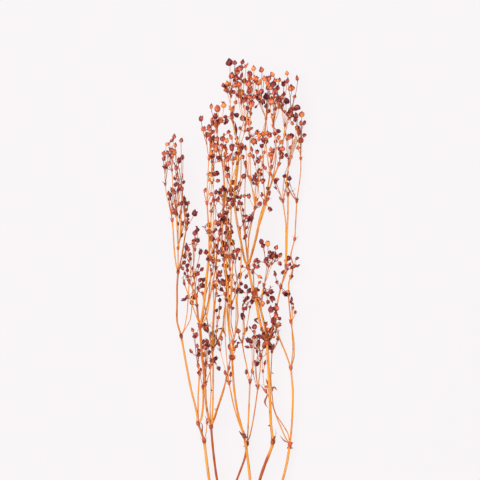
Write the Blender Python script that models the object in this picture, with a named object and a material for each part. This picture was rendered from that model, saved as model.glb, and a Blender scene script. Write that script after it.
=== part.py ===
"""A cut, dried stem of gypsophila, lying on its side.

The stem parts at swollen joints into six sprays. Each spray parts again and again, mostly two
and two, and ends in small dry seed heads. Every spray is one closed solid, fused from its stalks,
bracts and heads. It starts a hair's breadth above the stub that the main stem reaches out to it.

The tables hold the plan of the stem as it lies, in millimetres: x to the right, y along the stem
and z up from the surface. y = 0 is a line across the six stalks, 125 mm above the cut end.
"""
import math
import random
from collections import namedtuple

import bmesh
import bpy
import numpy as np
from mathutils import Vector
from mathutils.bvhtree import BVHTree

Bud = namedtuple("Bud", "centre width")
Draft = namedtuple("Draft", "clusters crossings space")

MM = 0.001
UP = Vector((0.0, 0.0, 1.0))
TIPWARDS = Vector((0.0, 1.0, 0.0))
SMALL_SHARE = 1e-3

# The plan point that becomes the origin: the middle of the box round the whole stem.
FOOTPRINT_CENTRE = (233.1, 148.1)

# Where the main stem ends and a spray starts.
STUB_LENGTH = 7.0
SEAM = 0.3

# Free distance that every spray keeps to all the others, and the smaller one that its own heads
# keep among themselves. A stalk's far end is raised or lowered in steps to keep them. The first
# quarter of a twig is left out, because twigs touch where they part.
CLEARANCE = 0.5
OWN_CLEARANCE = 0.15
FREE_FROM = 0.25
HEIGHT_STEP = 1.5
HEIGHT_STEPS = 16
LOWEST_HEAD = 4.5
HIGHEST_HEAD = 82.0

# Stalks: the swelling at a joint, and the number of sides from each width up.
JOINT_SWELLING = 1.4
JOINT_LENGTH = 1.3
SIDES_FROM_WIDTH = ((2.0, 6), (1.2, 4), (0.0, 3))
PEDICEL_SIDES = 3
TWIG_WIDTH = 1.0
PEDICEL_WIDTH = 0.75
THINNEST_TWIG = 0.85
TWIG_GROWTH = 0.05
ROOT_DEPTH = 0.35

# Seed heads.
HEAD_WIDTH = 4.3
SLENDER_WIDTH = 3.0
HEAD_LENGTH_RATIO = 1.25
SLENDER_LENGTH_RATIO = 1.9
HEAD_UPRIGHTNESS = 0.45
HEAD_CORE = (0.3, 0.75)
HEAD_SIDES = 5
NECK_SWELLING = 1.3

# How far a head may stand above or below its joint, over the distance between them.
HEIGHT_SPREAD = 0.35
# How far along towards its heads a shared twig reaches before it forks, at most; the room that
# each further fork needs, and the distance from the last joint to the middle of a head.
FORK_REACH = 0.46
FORK_STEP = 1.8
NEAREST_HEAD = 4.8
# The angle at which two branches part at least, in height where the plan doesn't show it.
OPENING = math.radians(30)
SMALL_REACH = 0.5
DRAWS = 30
# Heads that point further than this from their joint's mean direction stand alone (a cosine).
AHEAD = 0.3

# Dry bracts, in pairs at the joints of stalks that are at least this wide.
BRACT_STALK = 1.8
BRACT_LENGTH = 4.2
BRACT_WIDTH = 1.7
BRACT_THICKNESS = 0.8
BRACT_LEAN = 0.8

# Each route: its name, what it grows from, its width, the height of its far end, and its plan
# points. A route ends in a joint, and the next ones grow from there.
MAIN_STEM = [
    ("m1", None, 3.8, 6.0, [(236, -125), (235, -112), (238, -95)]),
    ("m2", "m1", 3.4, 12.0, [(241, -78), (240, -60)]),
    ("left", "m2", 3.0, 17.0, [(233, -47), (227, -32)]),
    ("right", "m2", 3.2, 17.0, [(247, -47), (253, -32)]),
]
FOOT_HEIGHT = 1.95

SPRAY_A = [
    ("a00", "m1", 2.1, 14, [(228, -72), (216, -32), (209, 0), (204, 39)]),
    ("a01", "a00", 0.9, 19, [(206, 47), (207, 57)]),
    ("a02", "a00", 2.0, 17, [(198, 56)]),
    ("a10", "a02", 2.2, 24, [(196, 70), (191, 90), (186, 116), (181, 144)]),
    ("a11", "a10", 1.8, 28, [(177, 158), (177, 179), (177, 194), (178, 208)]),
    ("a12", "a11", 1.4, 22, [(176, 215), (174, 232), (173, 249), (172, 260)]),
    ("a13", "a12", 1.2, 15, [(169, 274), (166, 287), (165, 296)]),
    ("a14", "a11", 1.2, 36, [(178, 220), (178, 232)]),
    ("a15", "a14", 1.0, 40, [(177, 249), (176, 268)]),
    ("a16", "a11", 1.4, 20, [(182, 225), (184, 238), (186, 251)]),
    ("a17", "a16", 1.2, 26, [(185, 262), (183, 275), (182, 291)]),
    ("a20", "a10", 1.3, 16, [(184, 151), (187, 167), (188, 182), (189, 198)]),
    ("a30", "a02", 1.4, 9, [(198, 84), (199, 105), (198, 114)]),
    ("a40", "a02", 1.2, 27, [(201, 60), (203, 73), (203, 93)]),
]
SPRAY_A_HEADS = {
    "a01": [(207, 61, 3.2)],
    "a13": [(166, 337), (170, 341, 3), (174, 344), (163, 327), (163, 322, 5), (167, 328), (168, 317),
            (165, 313)],
    "a17": [(181, 340), (171, 330), (175, 328, 5), (170, 324), (178, 320, 5.5), (183, 323), (176, 313),
            (184, 297), (175, 335, 3)],
    "a15": [(175, 296), (173, 290), (176, 288), (179, 291), (180, 277), (181, 294)],
    "a12": [(169, 287), (169, 282), (172, 270)],
    "a14": [(181, 245, 3), (176, 269), (182, 257)],
    "a16": [(187, 265), (194, 268, 5.5), (184, 280), (186, 257), (190, 258, 3)],
    "a11": [(186, 234), (186, 224), (183, 218)],
    "a20": [(191, 222), (186, 215), (187, 210), (193, 212, 3)],
    "a30": [(191, 129, 3), (198, 125), (197, 134, 3.6), (195, 144), (193, 150, 3.6), (199, 129, 3.4)],
    "a40": [(200, 107), (204, 116), (203, 125)],
}

SPRAY_B = [
    ("b00", "left", 2.2, 26, [(222, -16), (217, 0), (213, 30), (211, 53)]),
    ("b10", "b00", 2.4, 34, [(209, 60), (206, 76), (205, 96)]),
    ("b20", "b10", 2.8, 42, [(204, 108), (202, 124), (201, 140), (200, 154)]),
    ("b30", "b20", 2.4, 48, [(202, 162), (205, 185), (207, 206), (209, 222)]),
    ("b31", "b30", 1.4, 54, [(209, 242), (208, 263), (207, 277)]),
    ("b32", "b31", 1.2, 56, [(207, 288), (208, 306), (209, 321)]),
    ("b33", "b31", 1.0, 48, [(210, 283), (212, 297)]),
    ("b34", "b30", 1.0, 54, [(212, 228), (215, 235)]),
    ("b40", "b20", 2.0, 38, [(198, 163), (197, 174), (196, 184)]),
    ("b41", "b40", 1.4, 44, [(192, 193), (189, 199)]),
    ("b42", "b41", 1.0, 48, [(191, 209), (189, 219)]),
    ("b43", "b40", 1.0, 30, [(195, 194), (193, 204)]),
    ("b44", "b43", 1.0, 32, [(194, 217), (195, 230)]),
    ("b50", "b20", 1.4, 34, [(206, 162), (210, 183), (213, 199), (216, 212)]),
    ("b51", "b50", 1.2, 36, [(214, 228), (213, 252), (214, 279)]),
    ("b52", "b51", 1.1, 34, [(213, 296), (213, 311)]),
    ("b60", "b00", 1.6, 18, [(212, 60), (213, 90), (213, 119)]),
    ("b61", "b60", 1.2, 20, [(213, 124), (213, 131)]),
    ("b70", "b00", 1.1, 16, [(215, 63), (224, 90), (226, 102), (231, 123)]),
]
SPRAY_B_HEADS = {
    "b10": [(208, 127, 3.4), (205, 134), (207, 139, 3.6)],
    "b20": [(206, 150), (208, 154), (205, 156, 3.6), (196, 145)],
    "b32": [(207, 346, 5.5), (212, 357, 3), (201, 361), (205, 351, 3), (213, 342), (211, 326)],
    "b33": [(210, 301, 3), (218, 299), (213, 307), (208, 306, 3.4)],
    "b31": [(211, 286, 3.4), (204, 290, 3)],
    "b34": [(218, 241), (214, 228), (219, 229), (212, 240, 5.5), (211, 249), (214, 258)],
    "b30": [(206, 228), (208, 221), (214, 219), (217, 233, 3.4)],
    "b40": [(195, 183, 5.5), (192, 177), (187, 184), (184, 181), (202, 195, 5.5), (203, 201), (199, 201),
            (197, 207)],
    "b41": [(183, 213), (188, 204), (185, 207, 3.2)],
    "b42": [(188, 231), (185, 228, 3.2), (191, 226)],
    "b43": [(202, 211), (199, 214, 3.4), (200, 228)],
    "b44": [(193, 240), (198, 240), (198, 251), (195, 247)],
    "b50": [(217, 194), (217, 204), (220, 208, 3), (211, 222), (217, 186, 3.4)],
    "b51": [(216, 250, 3.4), (210, 255), (216, 288), (211, 268, 3.4), (218, 281)],
    "b52": [(215, 334), (213, 325), (216, 307), (211, 339)],
    "b60": [(215, 121), (219, 111), (209, 128, 3.4)],
    "b61": [(214, 140), (213, 146), (223, 151, 3), (220, 134, 3), (216, 149, 3.4)],
    "b70": [(233, 131, 3.4), (229, 134, 3)],
    "b00": [(218, 72, 3)],
}

SPRAY_C = [
    ("c00", "left", 1.5, 18, [(232, -14), (237, 0), (245, 22), (247, 36)]),
    ("c10", "c00", 1.4, 24, [(248, 50), (249, 74), (250, 98)]),
    ("c11", "c10", 1.1, 14, [(247, 112), (244, 126), (242, 138)]),
    ("c12", "c10", 1.0, 32, [(252, 108), (252, 133)]),
    ("c20", "c00", 1.2, 12, [(250, 44), (254, 64), (258, 92)]),
    ("c21", "c20", 1.0, 10, [(260, 108), (261, 122)]),
]
SPRAY_C_HEADS = {
    "c11": [(238, 149), (243, 163, 5.5), (246, 150, 3)],
    "c12": [(250, 139), (253, 143, 3.4), (248, 133, 3)],
    "c20": [(256, 116), (253, 108, 3)],
    "c21": [(258, 134), (255, 153), (264, 133, 3.4), (257, 143, 3.4)],
    "c10": [(246, 108, 3)],
}

SPRAY_D = [
    ("d00", "right", 2.3, 30, [(250, -18), (250, 0), (246, 33), (244, 44)]),
    ("d10", "d00", 2.0, 46, [(242, 51), (237, 71), (234, 92), (232, 123)]),
    ("d11", "d10", 1.8, 49, [(233, 138)]),
    ("d12", "d11", 1.4, 56, [(230, 150), (229, 162), (230, 174)]),
    ("d13", "d12", 1.3, 62, [(228, 188), (226, 205), (224, 220)]),
    ("d14", "d13", 1.2, 66, [(222, 240), (223, 259), (224, 274)]),
    ("d15", "d14", 1.1, 68, [(224, 295), (223, 310), (221, 323)]),
    ("d16", "d15", 1.0, 69, [(219, 336), (217, 350)]),
    ("d17", "d12", 1.1, 52, [(231, 192), (230, 211)]),
    ("d18", "d17", 1.1, 62, [(230, 235), (231, 262), (231, 288)]),
    ("d19", "d18", 1.0, 64, [(232, 305), (233, 316)]),
    ("d20", "d11", 1.3, 44, [(236, 150), (238, 163), (237, 180), (238, 191)]),
    ("d21", "d20", 1.0, 46, [(236, 207), (235, 215), (237, 225)]),
    ("d30", "d00", 1.2, 40, [(240, 54), (234, 73), (229, 97)]),
    ("d31", "d30", 0.9, 34, [(224, 115), (220, 130)]),
    ("d32", "d30", 1.1, 42, [(227, 118), (225, 147), (226, 185)]),
]
SPRAY_D_HEADS = {
    "d10": [(230, 133, 3), (236, 134, 3.2)],
    "d31": [(219, 138), (222, 142, 3)],
    "d32": [(224, 197, 5.5), (228, 204, 3.4), (221, 190, 3.4), (226, 214), (219, 199, 3)],
    "d12": [(233, 172, 3.4), (227, 180, 3.2)],
    "d17": [(225, 236), (232, 237), (228, 243, 5.5), (227, 248), (234, 229, 3.6), (229, 224, 3.6)],
    "d13": [(226, 232), (221, 228, 3.4), (220, 247), (222, 238, 3.6)],
    "d14": [(224, 262, 5.5), (219, 265), (226, 268), (218, 281), (228, 280), (221, 287), (226, 258),
            (219, 257), (230, 272), (223, 293, 3.4)],
    "d18": [(230, 285), (231, 298), (234, 275, 3.6), (227, 304), (236, 292), (226, 291)],
    "d15": [(228, 311), (222, 335), (216, 330), (227, 339), (222, 341), (217, 341), (218, 322),
            (225, 326, 3.4)],
    "d19": [(232, 332, 5.5), (232, 343, 3), (236, 326, 3.4), (229, 323)],
    "d16": [(215, 364), (211, 373, 3), (218, 371, 5.5), (224, 374), (227, 359), (220, 362, 3.4),
            (213, 356, 3.2), (209, 351, 3)],
    "d20": [(231, 194, 3), (234, 190), (242, 196, 3.4), (240, 204)],
    "d21": [(237, 230, 5.5), (240, 221, 3.4), (233, 222)],
    "d30": [(225, 108, 3), (231, 106, 3)],
}

SPRAY_E = [
    ("e00", "right", 3.0, 22, [(258, -17), (260, 0), (265, 15), (272, 33), (273, 38)]),
    ("e10", "e00", 3.0, 30, [(271, 56), (270, 80), (269, 104), (267, 138)]),
    ("e20", "e10", 2.6, 33, [(263, 148), (259, 162), (257, 174), (254, 187)]),
    ("e21", "e10", 1.4, 22, [(265, 150), (262, 165), (261, 178), (264, 195)]),
    ("e22", "e21", 1.1, 28, [(266, 207), (267, 215)]),
    ("e23", "e21", 1.0, 14, [(268, 204), (272, 216)]),
    ("e24", "e10", 1.2, 38, [(270, 145), (273, 154)]),
    ("e30", "e20", 2.4, 35, [(252, 194), (250, 204), (248, 213)]),
    ("e40", "e30", 2.4, 40, [(251, 223), (256, 242), (260, 261), (265, 278)]),
    ("e41", "e40", 1.9, 42, [(269, 290), (273, 301), (279, 316)]),
    ("e42", "e41", 1.6, 38, [(282, 331), (284, 344), (285, 355)]),
    ("e43", "e42", 1.1, 44, [(283, 362), (282, 371)]),
    ("e44", "e42", 1.1, 32, [(288, 362), (291, 370)]),
    ("e45", "e40", 1.3, 50, [(267, 288), (269, 300), (270, 306)]),
    ("e46", "e45", 1.1, 54, [(274, 318), (276, 334), (273, 354)]),
    ("e47", "e45", 1.1, 44, [(267, 325), (265, 344), (266, 361)]),
    ("e48", "e47", 1.0, 48, [(262, 370), (260, 378)]),
    ("e50", "e30", 2.1, 30, [(245, 219), (241, 238), (237, 258), (234, 280)]),
    ("e51", "e50", 1.8, 27, [(235, 297), (237, 318), (239, 334)]),
    ("e52", "e51", 1.3, 22, [(236, 343), (234, 352), (232, 363)]),
    ("e53", "e52", 1.0, 24, [(230, 373), (231, 384)]),
    ("e54", "e51", 1.3, 36, [(242, 340), (245, 349)]),
    ("e55", "e54", 1.1, 42, [(243, 362), (241, 377)]),
    ("e60", "e30", 1.4, 48, [(248, 228), (249, 244), (252, 259), (255, 272)]),
    ("e61", "e60", 1.2, 54, [(253, 285), (251, 300), (250, 322), (250, 344)]),
    ("e62", "e61", 1.1, 57, [(250, 356), (251, 366)]),
    ("e63", "e60", 1.1, 46, [(259, 284), (258, 294)]),
]
SPRAY_E_HEADS = {
    "e10": [(262, 151, 3.4), (268, 150), (271, 148, 3.4), (265, 145), (274, 143, 3.2), (260, 143, 3),
            (266, 156, 3.4)],
    "e24": [(278, 156), (280, 162, 3.4), (275, 165), (276, 172, 5.5), (269, 171, 5.5), (273, 159)],
    "e21": [(264, 187, 3.4), (267, 185), (271, 188), (272, 181, 5), (262, 176), (268, 178, 3.4),
            (258, 181)],
    "e22": [(267, 221), (264, 235), (262, 239), (268, 236), (259, 219, 3.4), (270, 228, 3.4)],
    "e23": [(271, 223), (276, 224), (276, 233), (280, 225), (281, 217)],
    "e20": [(252, 177, 5.5), (247, 182), (249, 189), (242, 165), (246, 194), (242, 190), (258, 191, 3.4),
            (245, 172, 3.4)],
    "e30": [(253, 208), (239, 205), (257, 214), (255, 220), (260, 203), (242, 214, 3.4), (246, 203, 3)],
    "e60": [(250, 260), (253, 262), (246, 264, 3), (246, 243), (249, 284), (256, 281), (259, 276, 3.4),
            (247, 252, 3.4)],
    "e63": [(263, 299, 5.5), (254, 301), (258, 309), (258, 319), (261, 306, 3.4)],
    "e40": [(270, 271), (268, 292, 3.4), (261, 285, 3.2)],
    "e50": [(238, 284), (240, 278), (240, 296), (243, 304), (232, 291), (244, 285, 3.4), (237, 270, 3.4)],
    "e45": [(277, 300, 3.2), (272, 313, 3.4), (265, 312, 3.4)],
    "e61": [(253, 340, 5.5), (257, 347), (260, 344), (248, 350, 3.4), (246, 341, 3.4)],
    "e62": [(252, 376, 6.5), (249, 389, 5.5), (248, 396, 5), (249, 383), (253, 383), (250, 405),
            (254, 411), (254, 401), (247, 373, 3.4), (246, 380, 3.4)],
    "e47": [(265, 339), (262, 346), (268, 346), (267, 383, 5.5), (272, 380), (268, 397), (269, 401),
            (270, 392), (263, 340, 3.4), (270, 369, 3.4), (266, 374, 3.6)],
    "e48": [(258, 382), (260, 389), (262, 379), (258, 397), (262, 410), (264, 401), (256, 374, 3.4)],
    "e46": [(274, 387), (273, 395), (278, 392), (274, 406), (279, 400), (278, 349), (275, 345),
            (280, 342), (276, 372, 3.4), (272, 363, 3.4)],
    "e43": [(280, 375), (279, 381), (284, 396), (287, 379, 5.5), (287, 399, 3), (284, 386, 3.4)],
    "e44": [(287, 407, 3.4), (292, 392, 5.5), (290, 372), (297, 373, 5.5), (298, 402, 3), (294, 384, 3.2)],
    "e51": [(237, 342, 3.4), (242, 331, 3.4), (234, 335, 3.2)],
    "e52": [(230, 372, 3.2), (237, 365), (235, 378, 3.2)],
    "e53": [(230, 418, 5.5), (235, 418), (236, 411), (231, 405, 5.5), (228, 397), (224, 394), (227, 390),
            (231, 388)],
    "e54": [(242, 362), (248, 362, 3.4), (240, 352, 3.2)],
    "e55": [(242, 418), (242, 412), (246, 414), (241, 405, 3), (237, 402), (239, 395), (244, 399),
            (237, 385, 3.4), (243, 387, 3.6)],
}

SPRAY_F = [
    ("f00", "m1", 2.1, 12, [(249, -75), (266, -40), (283, 0), (287, 16), (290, 35)]),
    ("f10", "f00", 2.1, 15, [(292, 55), (293, 88), (291, 112)]),
    ("f11", "f10", 1.5, 18, [(286, 126), (279, 143), (276, 153), (277, 174), (281, 193)]),
    ("f12", "f11", 1.3, 20, [(284, 204), (286, 214)]),
    ("f13", "f12", 1.2, 18, [(286, 240), (286, 256), (283, 279)]),
    ("f14", "f13", 1.1, 14, [(283, 290), (285, 306), (289, 317)]),
    ("f15", "f13", 0.9, 20, [(280, 286), (276, 292)]),
    ("f16", "f12", 0.9, 26, [(287, 240), (288, 270), (288, 286)]),
    ("f20", "f10", 1.8, 12, [(294, 122), (294, 138), (291, 158)]),
    ("f21", "f20", 1.3, 10, [(289, 180), (289, 197), (294, 214)]),
    ("f22", "f21", 1.3, 9, [(291, 224), (295, 241)]),
    ("f23", "f22", 1.2, 9, [(296, 260), (297, 279)]),
    ("f24", "f23", 1.1, 9, [(299, 293), (301, 309), (301, 322)]),
    ("f30", "f00", 1.2, 10, [(286, 41), (277, 62), (272, 76), (266, 88)]),
    ("f31", "f30", 0.9, 8, [(264, 95), (263, 108)]),
    ("f40", "f00", 1.0, 14, [(288, 46), (280, 59), (275, 67), (271, 100), (272, 128)]),
]
SPRAY_F_HEADS = {
    "f31": [(262, 125, 3), (265, 117, 3)],
    "f30": [(269, 97, 3)],
    "f40": [(271, 132), (279, 141, 3.4), (274, 134, 3.2)],
    "f11": [(285, 185, 5.5), (288, 187), (275, 206), (276, 198, 3.4)],
    "f12": [(284, 208), (288, 222), (285, 220, 3.6), (290, 215, 3.2)],
    "f13": [(285, 290, 3), (280, 281, 3.2), (288, 307, 3)],
    "f14": [(288, 343), (286, 325, 3.4), (290, 333, 3.4), (293, 345)],
    "f15": [(275, 298, 3.4)],
    "f16": [(288, 294, 3.6)],
    "f20": [(292, 181, 3), (296, 168, 3.2)],
    "f21": [(292, 203), (292, 212), (298, 214, 3), (296, 222, 3.4)],
    "f23": [(287, 296), (289, 302), (293, 290, 3.2)],
    "f24": [(301, 340, 5.5), (301, 349), (301, 357), (302, 366), (298, 333, 3.4), (304, 345, 3.4)],
}

# The share of a fused spray's faces that is kept.
KEPT_SHARE = 0.72

# Heads that lie pressed to the surface, and the height of their middle. With the cut end they
# carry the stem, and each has a small flat spot.
SURFACE_HEADS = [(163, 322), (301, 340), (243, 163)]
PRESSED_HEIGHT = 1.25

AMBER = (0.62, 0.26, 0.05, 1.0)
STALK_ROUGHNESS = 0.35
SEED_BROWN = (0.22, 0.055, 0.03, 1.0)
HEAD_ROUGHNESS = 0.5


def polyline_lengths(points):
    """Distances along a polyline to each of its points."""
    lengths = [0.0]
    for before, after in zip(points, points[1:]):
        lengths.append(lengths[-1] + (after - before).length)
    return lengths


def trim(points, start, end):
    """The part of a polyline between two distances along it."""
    lengths = polyline_lengths(points)

    def at(distance):
        for index in range(1, len(points)):
            if distance <= lengths[index] or index == len(points) - 1:
                span = lengths[index] - lengths[index - 1]
                share = (distance - lengths[index - 1]) / span
                return points[index - 1].lerp(points[index], share)

    inner = [point for point, length in zip(points, lengths) if start < length < end]
    return [at(start)] + inner + [at(end)]


def raised(plan, start, end_height):
    """Gives plan points their heights, evenly from a joint to the far end's height."""
    flat = [Vector((start.x, start.y, 0.0))] + [Vector((x, y, 0.0)) for x, y in plan]
    lengths = polyline_lengths(flat)
    points = [start.copy()]
    for point, length in zip(flat[1:], lengths[1:]):
        height = start.z + (end_height - start.z) * length / lengths[-1]
        points.append(Vector((point.x, point.y, height)))
    return points


class Taken:
    """The space that finished sprays fill, kept as straight capsules."""

    def __init__(self):
        self.starts = np.zeros((0, 3))
        self.ends = np.zeros((0, 3))
        self.radii = np.zeros(0)

    def copy(self):
        twin = Taken()
        twin.starts, twin.ends, twin.radii = self.starts, self.ends, self.radii
        return twin

    def add(self, capsules):
        self.starts = np.vstack([self.starts] + [np.array(start)[None] for start, _, _ in capsules])
        self.ends = np.vstack([self.ends] + [np.array(end)[None] for _, end, _ in capsules])
        self.radii = np.append(self.radii, [radius for _, _, radius in capsules])

    def free_distance(self, capsules):
        """The smallest gap between these capsules and the space that is taken."""
        if not len(self.radii):
            return math.inf
        return min(self.gap_to(*capsule) for capsule in capsules)

    def gap_to(self, start, end, radius):
        start, end = np.array(start), np.array(end)
        along = end - start
        others = self.ends - self.starts
        between = start - self.starts
        along_sq = max(along @ along, 1e-9)
        others_sq = np.maximum((others ** 2).sum(axis=1), 1e-9)
        cross = others @ along
        to_along = between @ along
        to_others = (between * others).sum(axis=1)
        spread = np.maximum(along_sq * others_sq - cross ** 2, 1e-9)
        share = np.clip((cross * to_others - to_along * others_sq) / spread, 0.0, 1.0)
        other_share = np.clip((cross * share + to_others) / others_sq, 0.0, 1.0)
        share = np.clip((other_share * cross - to_along) / along_sq, 0.0, 1.0)
        nearest = between + share[:, None] * along - other_share[:, None] * others
        return float((np.linalg.norm(nearest, axis=1) - self.radii).min() - radius)


def limb_capsules(points, radius):
    return [(a, b, radius) for a, b in zip(points, points[1:])]


class Head:
    """One seed head on its own thin stalk."""

    pair = ()

    def __init__(self, root, centre, width):
        slender = width <= SLENDER_WIDTH
        self.root = root
        self.radius = width / 2
        self.length = width * (SLENDER_LENGTH_RATIO if slender else HEAD_LENGTH_RATIO)
        stalk = (centre - root).normalized()
        turn = HEAD_UPRIGHTNESS * (1.0 + stalk.dot(TIPWARDS)) / 2
        self.axis = stalk.lerp(TIPWARDS, turn).normalized()
        self.base = centre - self.axis * self.length / 2
        self.end = self.base
        self.stalk_radius = PEDICEL_WIDTH / 2

    def capsules(self):
        low, high = [self.base + self.axis * self.length * share for share in HEAD_CORE]
        stalk = (self.root.lerp(self.base, FREE_FROM), self.base, self.stalk_radius)
        return [stalk, (low, high, self.radius)]


class Fork:
    """A twig that ends in a joint and parts there in two."""

    def __init__(self, root, end, width):
        self.root = root
        self.end = end
        self.stalk_radius = width / 2
        self.pair = ()

    def capsules(self):
        return [(self.root.lerp(self.end, FREE_FROM), self.end, self.stalk_radius)]


class Spray:
    """The stalks, twigs and heads of one spray, grown outwards from its lowest joint."""

    def __init__(self, seed, joints, others):
        self.draw = random.Random(seed)
        self.joints = dict(joints)
        self.others = others
        self.own = Taken()
        self.limbs = []
        self.clusters = []
        self.bracts = []

    def free_height(self, shape_at, wanted):
        """Raises or lowers a far end, as little as it takes, until what leads there is clear."""
        best, best_score = wanted, (-math.inf, -math.inf)
        for step in range(HEIGHT_STEPS):
            for sign in (1, -1) if step else (1,):
                height = wanted + sign * step * HEIGHT_STEP
                if not LOWEST_HEAD <= height <= HIGHEST_HEAD:
                    continue
                shape = shape_at(height)
                others = min(self.others.free_distance(shape) - CLEARANCE, 0.0)
                own = min(self.own.free_distance(shape) - OWN_CLEARANCE, 0.0)
                if (others, own) == (0.0, 0.0):
                    return height
                if (others, own) > best_score:
                    best, best_score = height, (others, own)
        return best

    def add_route(self, name, parent, width, height, plan):
        start, _ = self.joints[parent]

        def stalk_at(end_height):
            return limb_capsules(raised(plan, start, end_height), width / 2)

        points = raised(plan, start, self.free_height(stalk_at, height))
        self.limbs.append((points, width))
        direction = (points[-1] - points[-2]).normalized()
        self.joints[name] = (points[-1], direction)
        if width >= BRACT_STALK:
            self.bracts.append((points[-1], direction, self.draw.uniform(0.0, math.pi)))

    def add_heads(self, name, plan):
        """Draws a joint's heads again until none of their twigs cross, or keeps the best draw."""
        before = self.own
        drafts = []
        while len(drafts) < DRAWS and (not drafts or drafts[-1].crossings):
            self.own = before.copy()
            clusters = self.draw_heads(self.joints[name][0], plan)
            crossings = sum(count_crossings(cluster) for cluster in clusters)
            drafts.append(Draft(clusters, crossings, self.own))
        best = min(drafts, key=lambda draft: draft.crossings)
        self.own = best.space
        self.clusters += best.clusters

    def draw_heads(self, joint, plan):
        """Lets heads part from a joint: those ahead share forks, those behind stand alone."""
        needed = head_distance(len(plan))
        buds = []
        for x, y, *width in plan:
            reach = Vector((x - joint.x, y - joint.y)).length
            rise = self.draw.uniform(-HEIGHT_SPREAD, HEIGHT_SPREAD) * reach
            if reach < needed:
                rise = math.copysign(math.sqrt(needed ** 2 - reach ** 2), rise)
            if joint.z + rise < LOWEST_HEAD:
                rise = abs(rise)
            height = PRESSED_HEIGHT if (x, y) in SURFACE_HEADS else joint.z + rise
            buds.append(Bud(Vector((x, y, height)), *(width or [HEAD_WIDTH])))
        ahead = sum(((bud.centre - joint).normalized() for bud in buds), Vector()).normalized()
        shared, alone = [], []
        for bud in buds:
            is_ahead = (bud.centre - joint).normalized().dot(ahead) > AHEAD
            (shared if is_ahead else alone).append(bud)
        if len(shared) == 1:
            alone.append(shared.pop())
        clusters = [self.part(Fork(joint, joint, THINNEST_TWIG), shared)] if shared else []
        return clusters + [self.new_head(joint, bud) for bud in alone]

    def part(self, fork, buds):
        """Parts the heads of a fork in two, and again, until each has a stalk of its own."""
        joint = fork.end
        by_angle = sorted(buds, key=lambda bud: math.atan2(bud.centre.x - joint.x, bud.centre.y - joint.y))
        middle = len(buds) // 2
        halves = self.open_up(joint, by_angle[:middle], by_angle[middle:])
        fork.pair = [self.new_head(joint, half[0]) if len(half) == 1 else self.new_fork(joint, half)
                     for half in halves]
        return fork

    def open_up(self, joint, first, second):
        """Where two halves are close in plan, raises one and lowers the other, so they part."""
        ways = [(mean_centre(half) - joint).xy for half in (first, second)]
        if min(way.length for way in ways) < SMALL_REACH:
            missing = OPENING
        else:
            missing = max(OPENING - abs(ways[0].angle_signed(ways[1])), 0.0)
        slope = math.tan(missing / 2) * self.draw.choice((1, -1))
        return ([moved_up(bud, slope * (bud.centre - joint).length) for bud in first],
                [moved_up(bud, -slope * (bud.centre - joint).length) for bud in second])

    def new_fork(self, joint, buds):
        """A twig towards several heads, which parts before it reaches the nearest."""
        nearest = min((bud.centre - joint).length for bud in buds)
        way = mean_centre(buds) - joint
        reach = min(FORK_REACH * way.length, nearest - head_distance(len(buds)) + FORK_STEP)
        end = joint + way.normalized() * max(reach, FORK_STEP)
        width = min(TWIG_WIDTH, THINNEST_TWIG + TWIG_GROWTH * len(buds))

        def fork_at(height):
            return Fork(joint, Vector((end.x, end.y, height)), width)

        fork = fork_at(self.free_height(lambda height: fork_at(height).capsules(), end.z))
        self.own.add(fork.capsules())
        return self.part(fork, buds)

    def new_head(self, root, bud):
        def head_at(height):
            return Head(root, Vector((bud.centre.x, bud.centre.y, height)), bud.width)

        height = bud.centre.z
        if height != PRESSED_HEIGHT:
            height = self.free_height(lambda z: head_at(z).capsules(), height)
        head = head_at(height)
        self.own.add(head.capsules())
        return head

    def capsules(self):
        """All the space that the spray fills."""
        found = []
        for points, width in self.limbs:
            found += limb_capsules(points, width / 2 * JOINT_SWELLING)
        for joint, direction, turn in self.bracts:
            found += [(joint, tip, BRACT_WIDTH / 2) for tip in bract_tips(joint, direction, turn)]
        branches = list(self.clusters)
        while branches:
            branch = branches.pop()
            found.append((branch.root, branch.end, branch.stalk_radius))
            found += branch.capsules()
            branches += branch.pair
        return found


def head_distance(count):
    """How far from a joint its heads stand at least, so that there is room for their forks."""
    return NEAREST_HEAD + FORK_STEP * math.ceil(math.log2(max(count, 1)))


def mean_centre(buds):
    return sum((bud.centre for bud in buds), Vector()) / len(buds)


def moved_up(bud, rise):
    """Raises a bud, but not one that is pressed to the surface."""
    x, y, height = bud.centre
    if height == PRESSED_HEIGHT:
        return bud
    return Bud(Vector((x, y, max(height + rise, LOWEST_HEAD))), bud.width)


def bract_tips(joint, direction, turn):
    """The tips of a joint's two opposite bracts."""
    across = direction.orthogonal().normalized()
    side = across * math.cos(turn) + direction.cross(across) * math.sin(turn)
    return [joint + (direction + sign * side * BRACT_LEAN).normalized() * BRACT_LENGTH for sign in (1, -1)]


def ring(bm, centre, direction, reference, radius, sides):
    """A ring of vertices across a direction."""
    across = reference - direction * reference.dot(direction)
    if across.length < reference.length * SMALL_SHARE:
        across = direction.orthogonal()
    across.normalize()
    other = direction.cross(across)
    turns = [math.tau * index / sides for index in range(sides)]
    return [bm.verts.new(centre + (across * math.cos(t) + other * math.sin(t)) * radius) for t in turns]


def aligned(lower, upper):
    """Starts the upper ring at the vertex that twists the wall between the two the least."""
    def twist(shift):
        return sum((vertex.co - upper[(index * len(upper) // len(lower) + shift) % len(upper)].co).length
                   for index, vertex in enumerate(lower))

    shift = min(range(len(upper)), key=twist)
    return upper[shift:] + upper[:shift]


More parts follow.
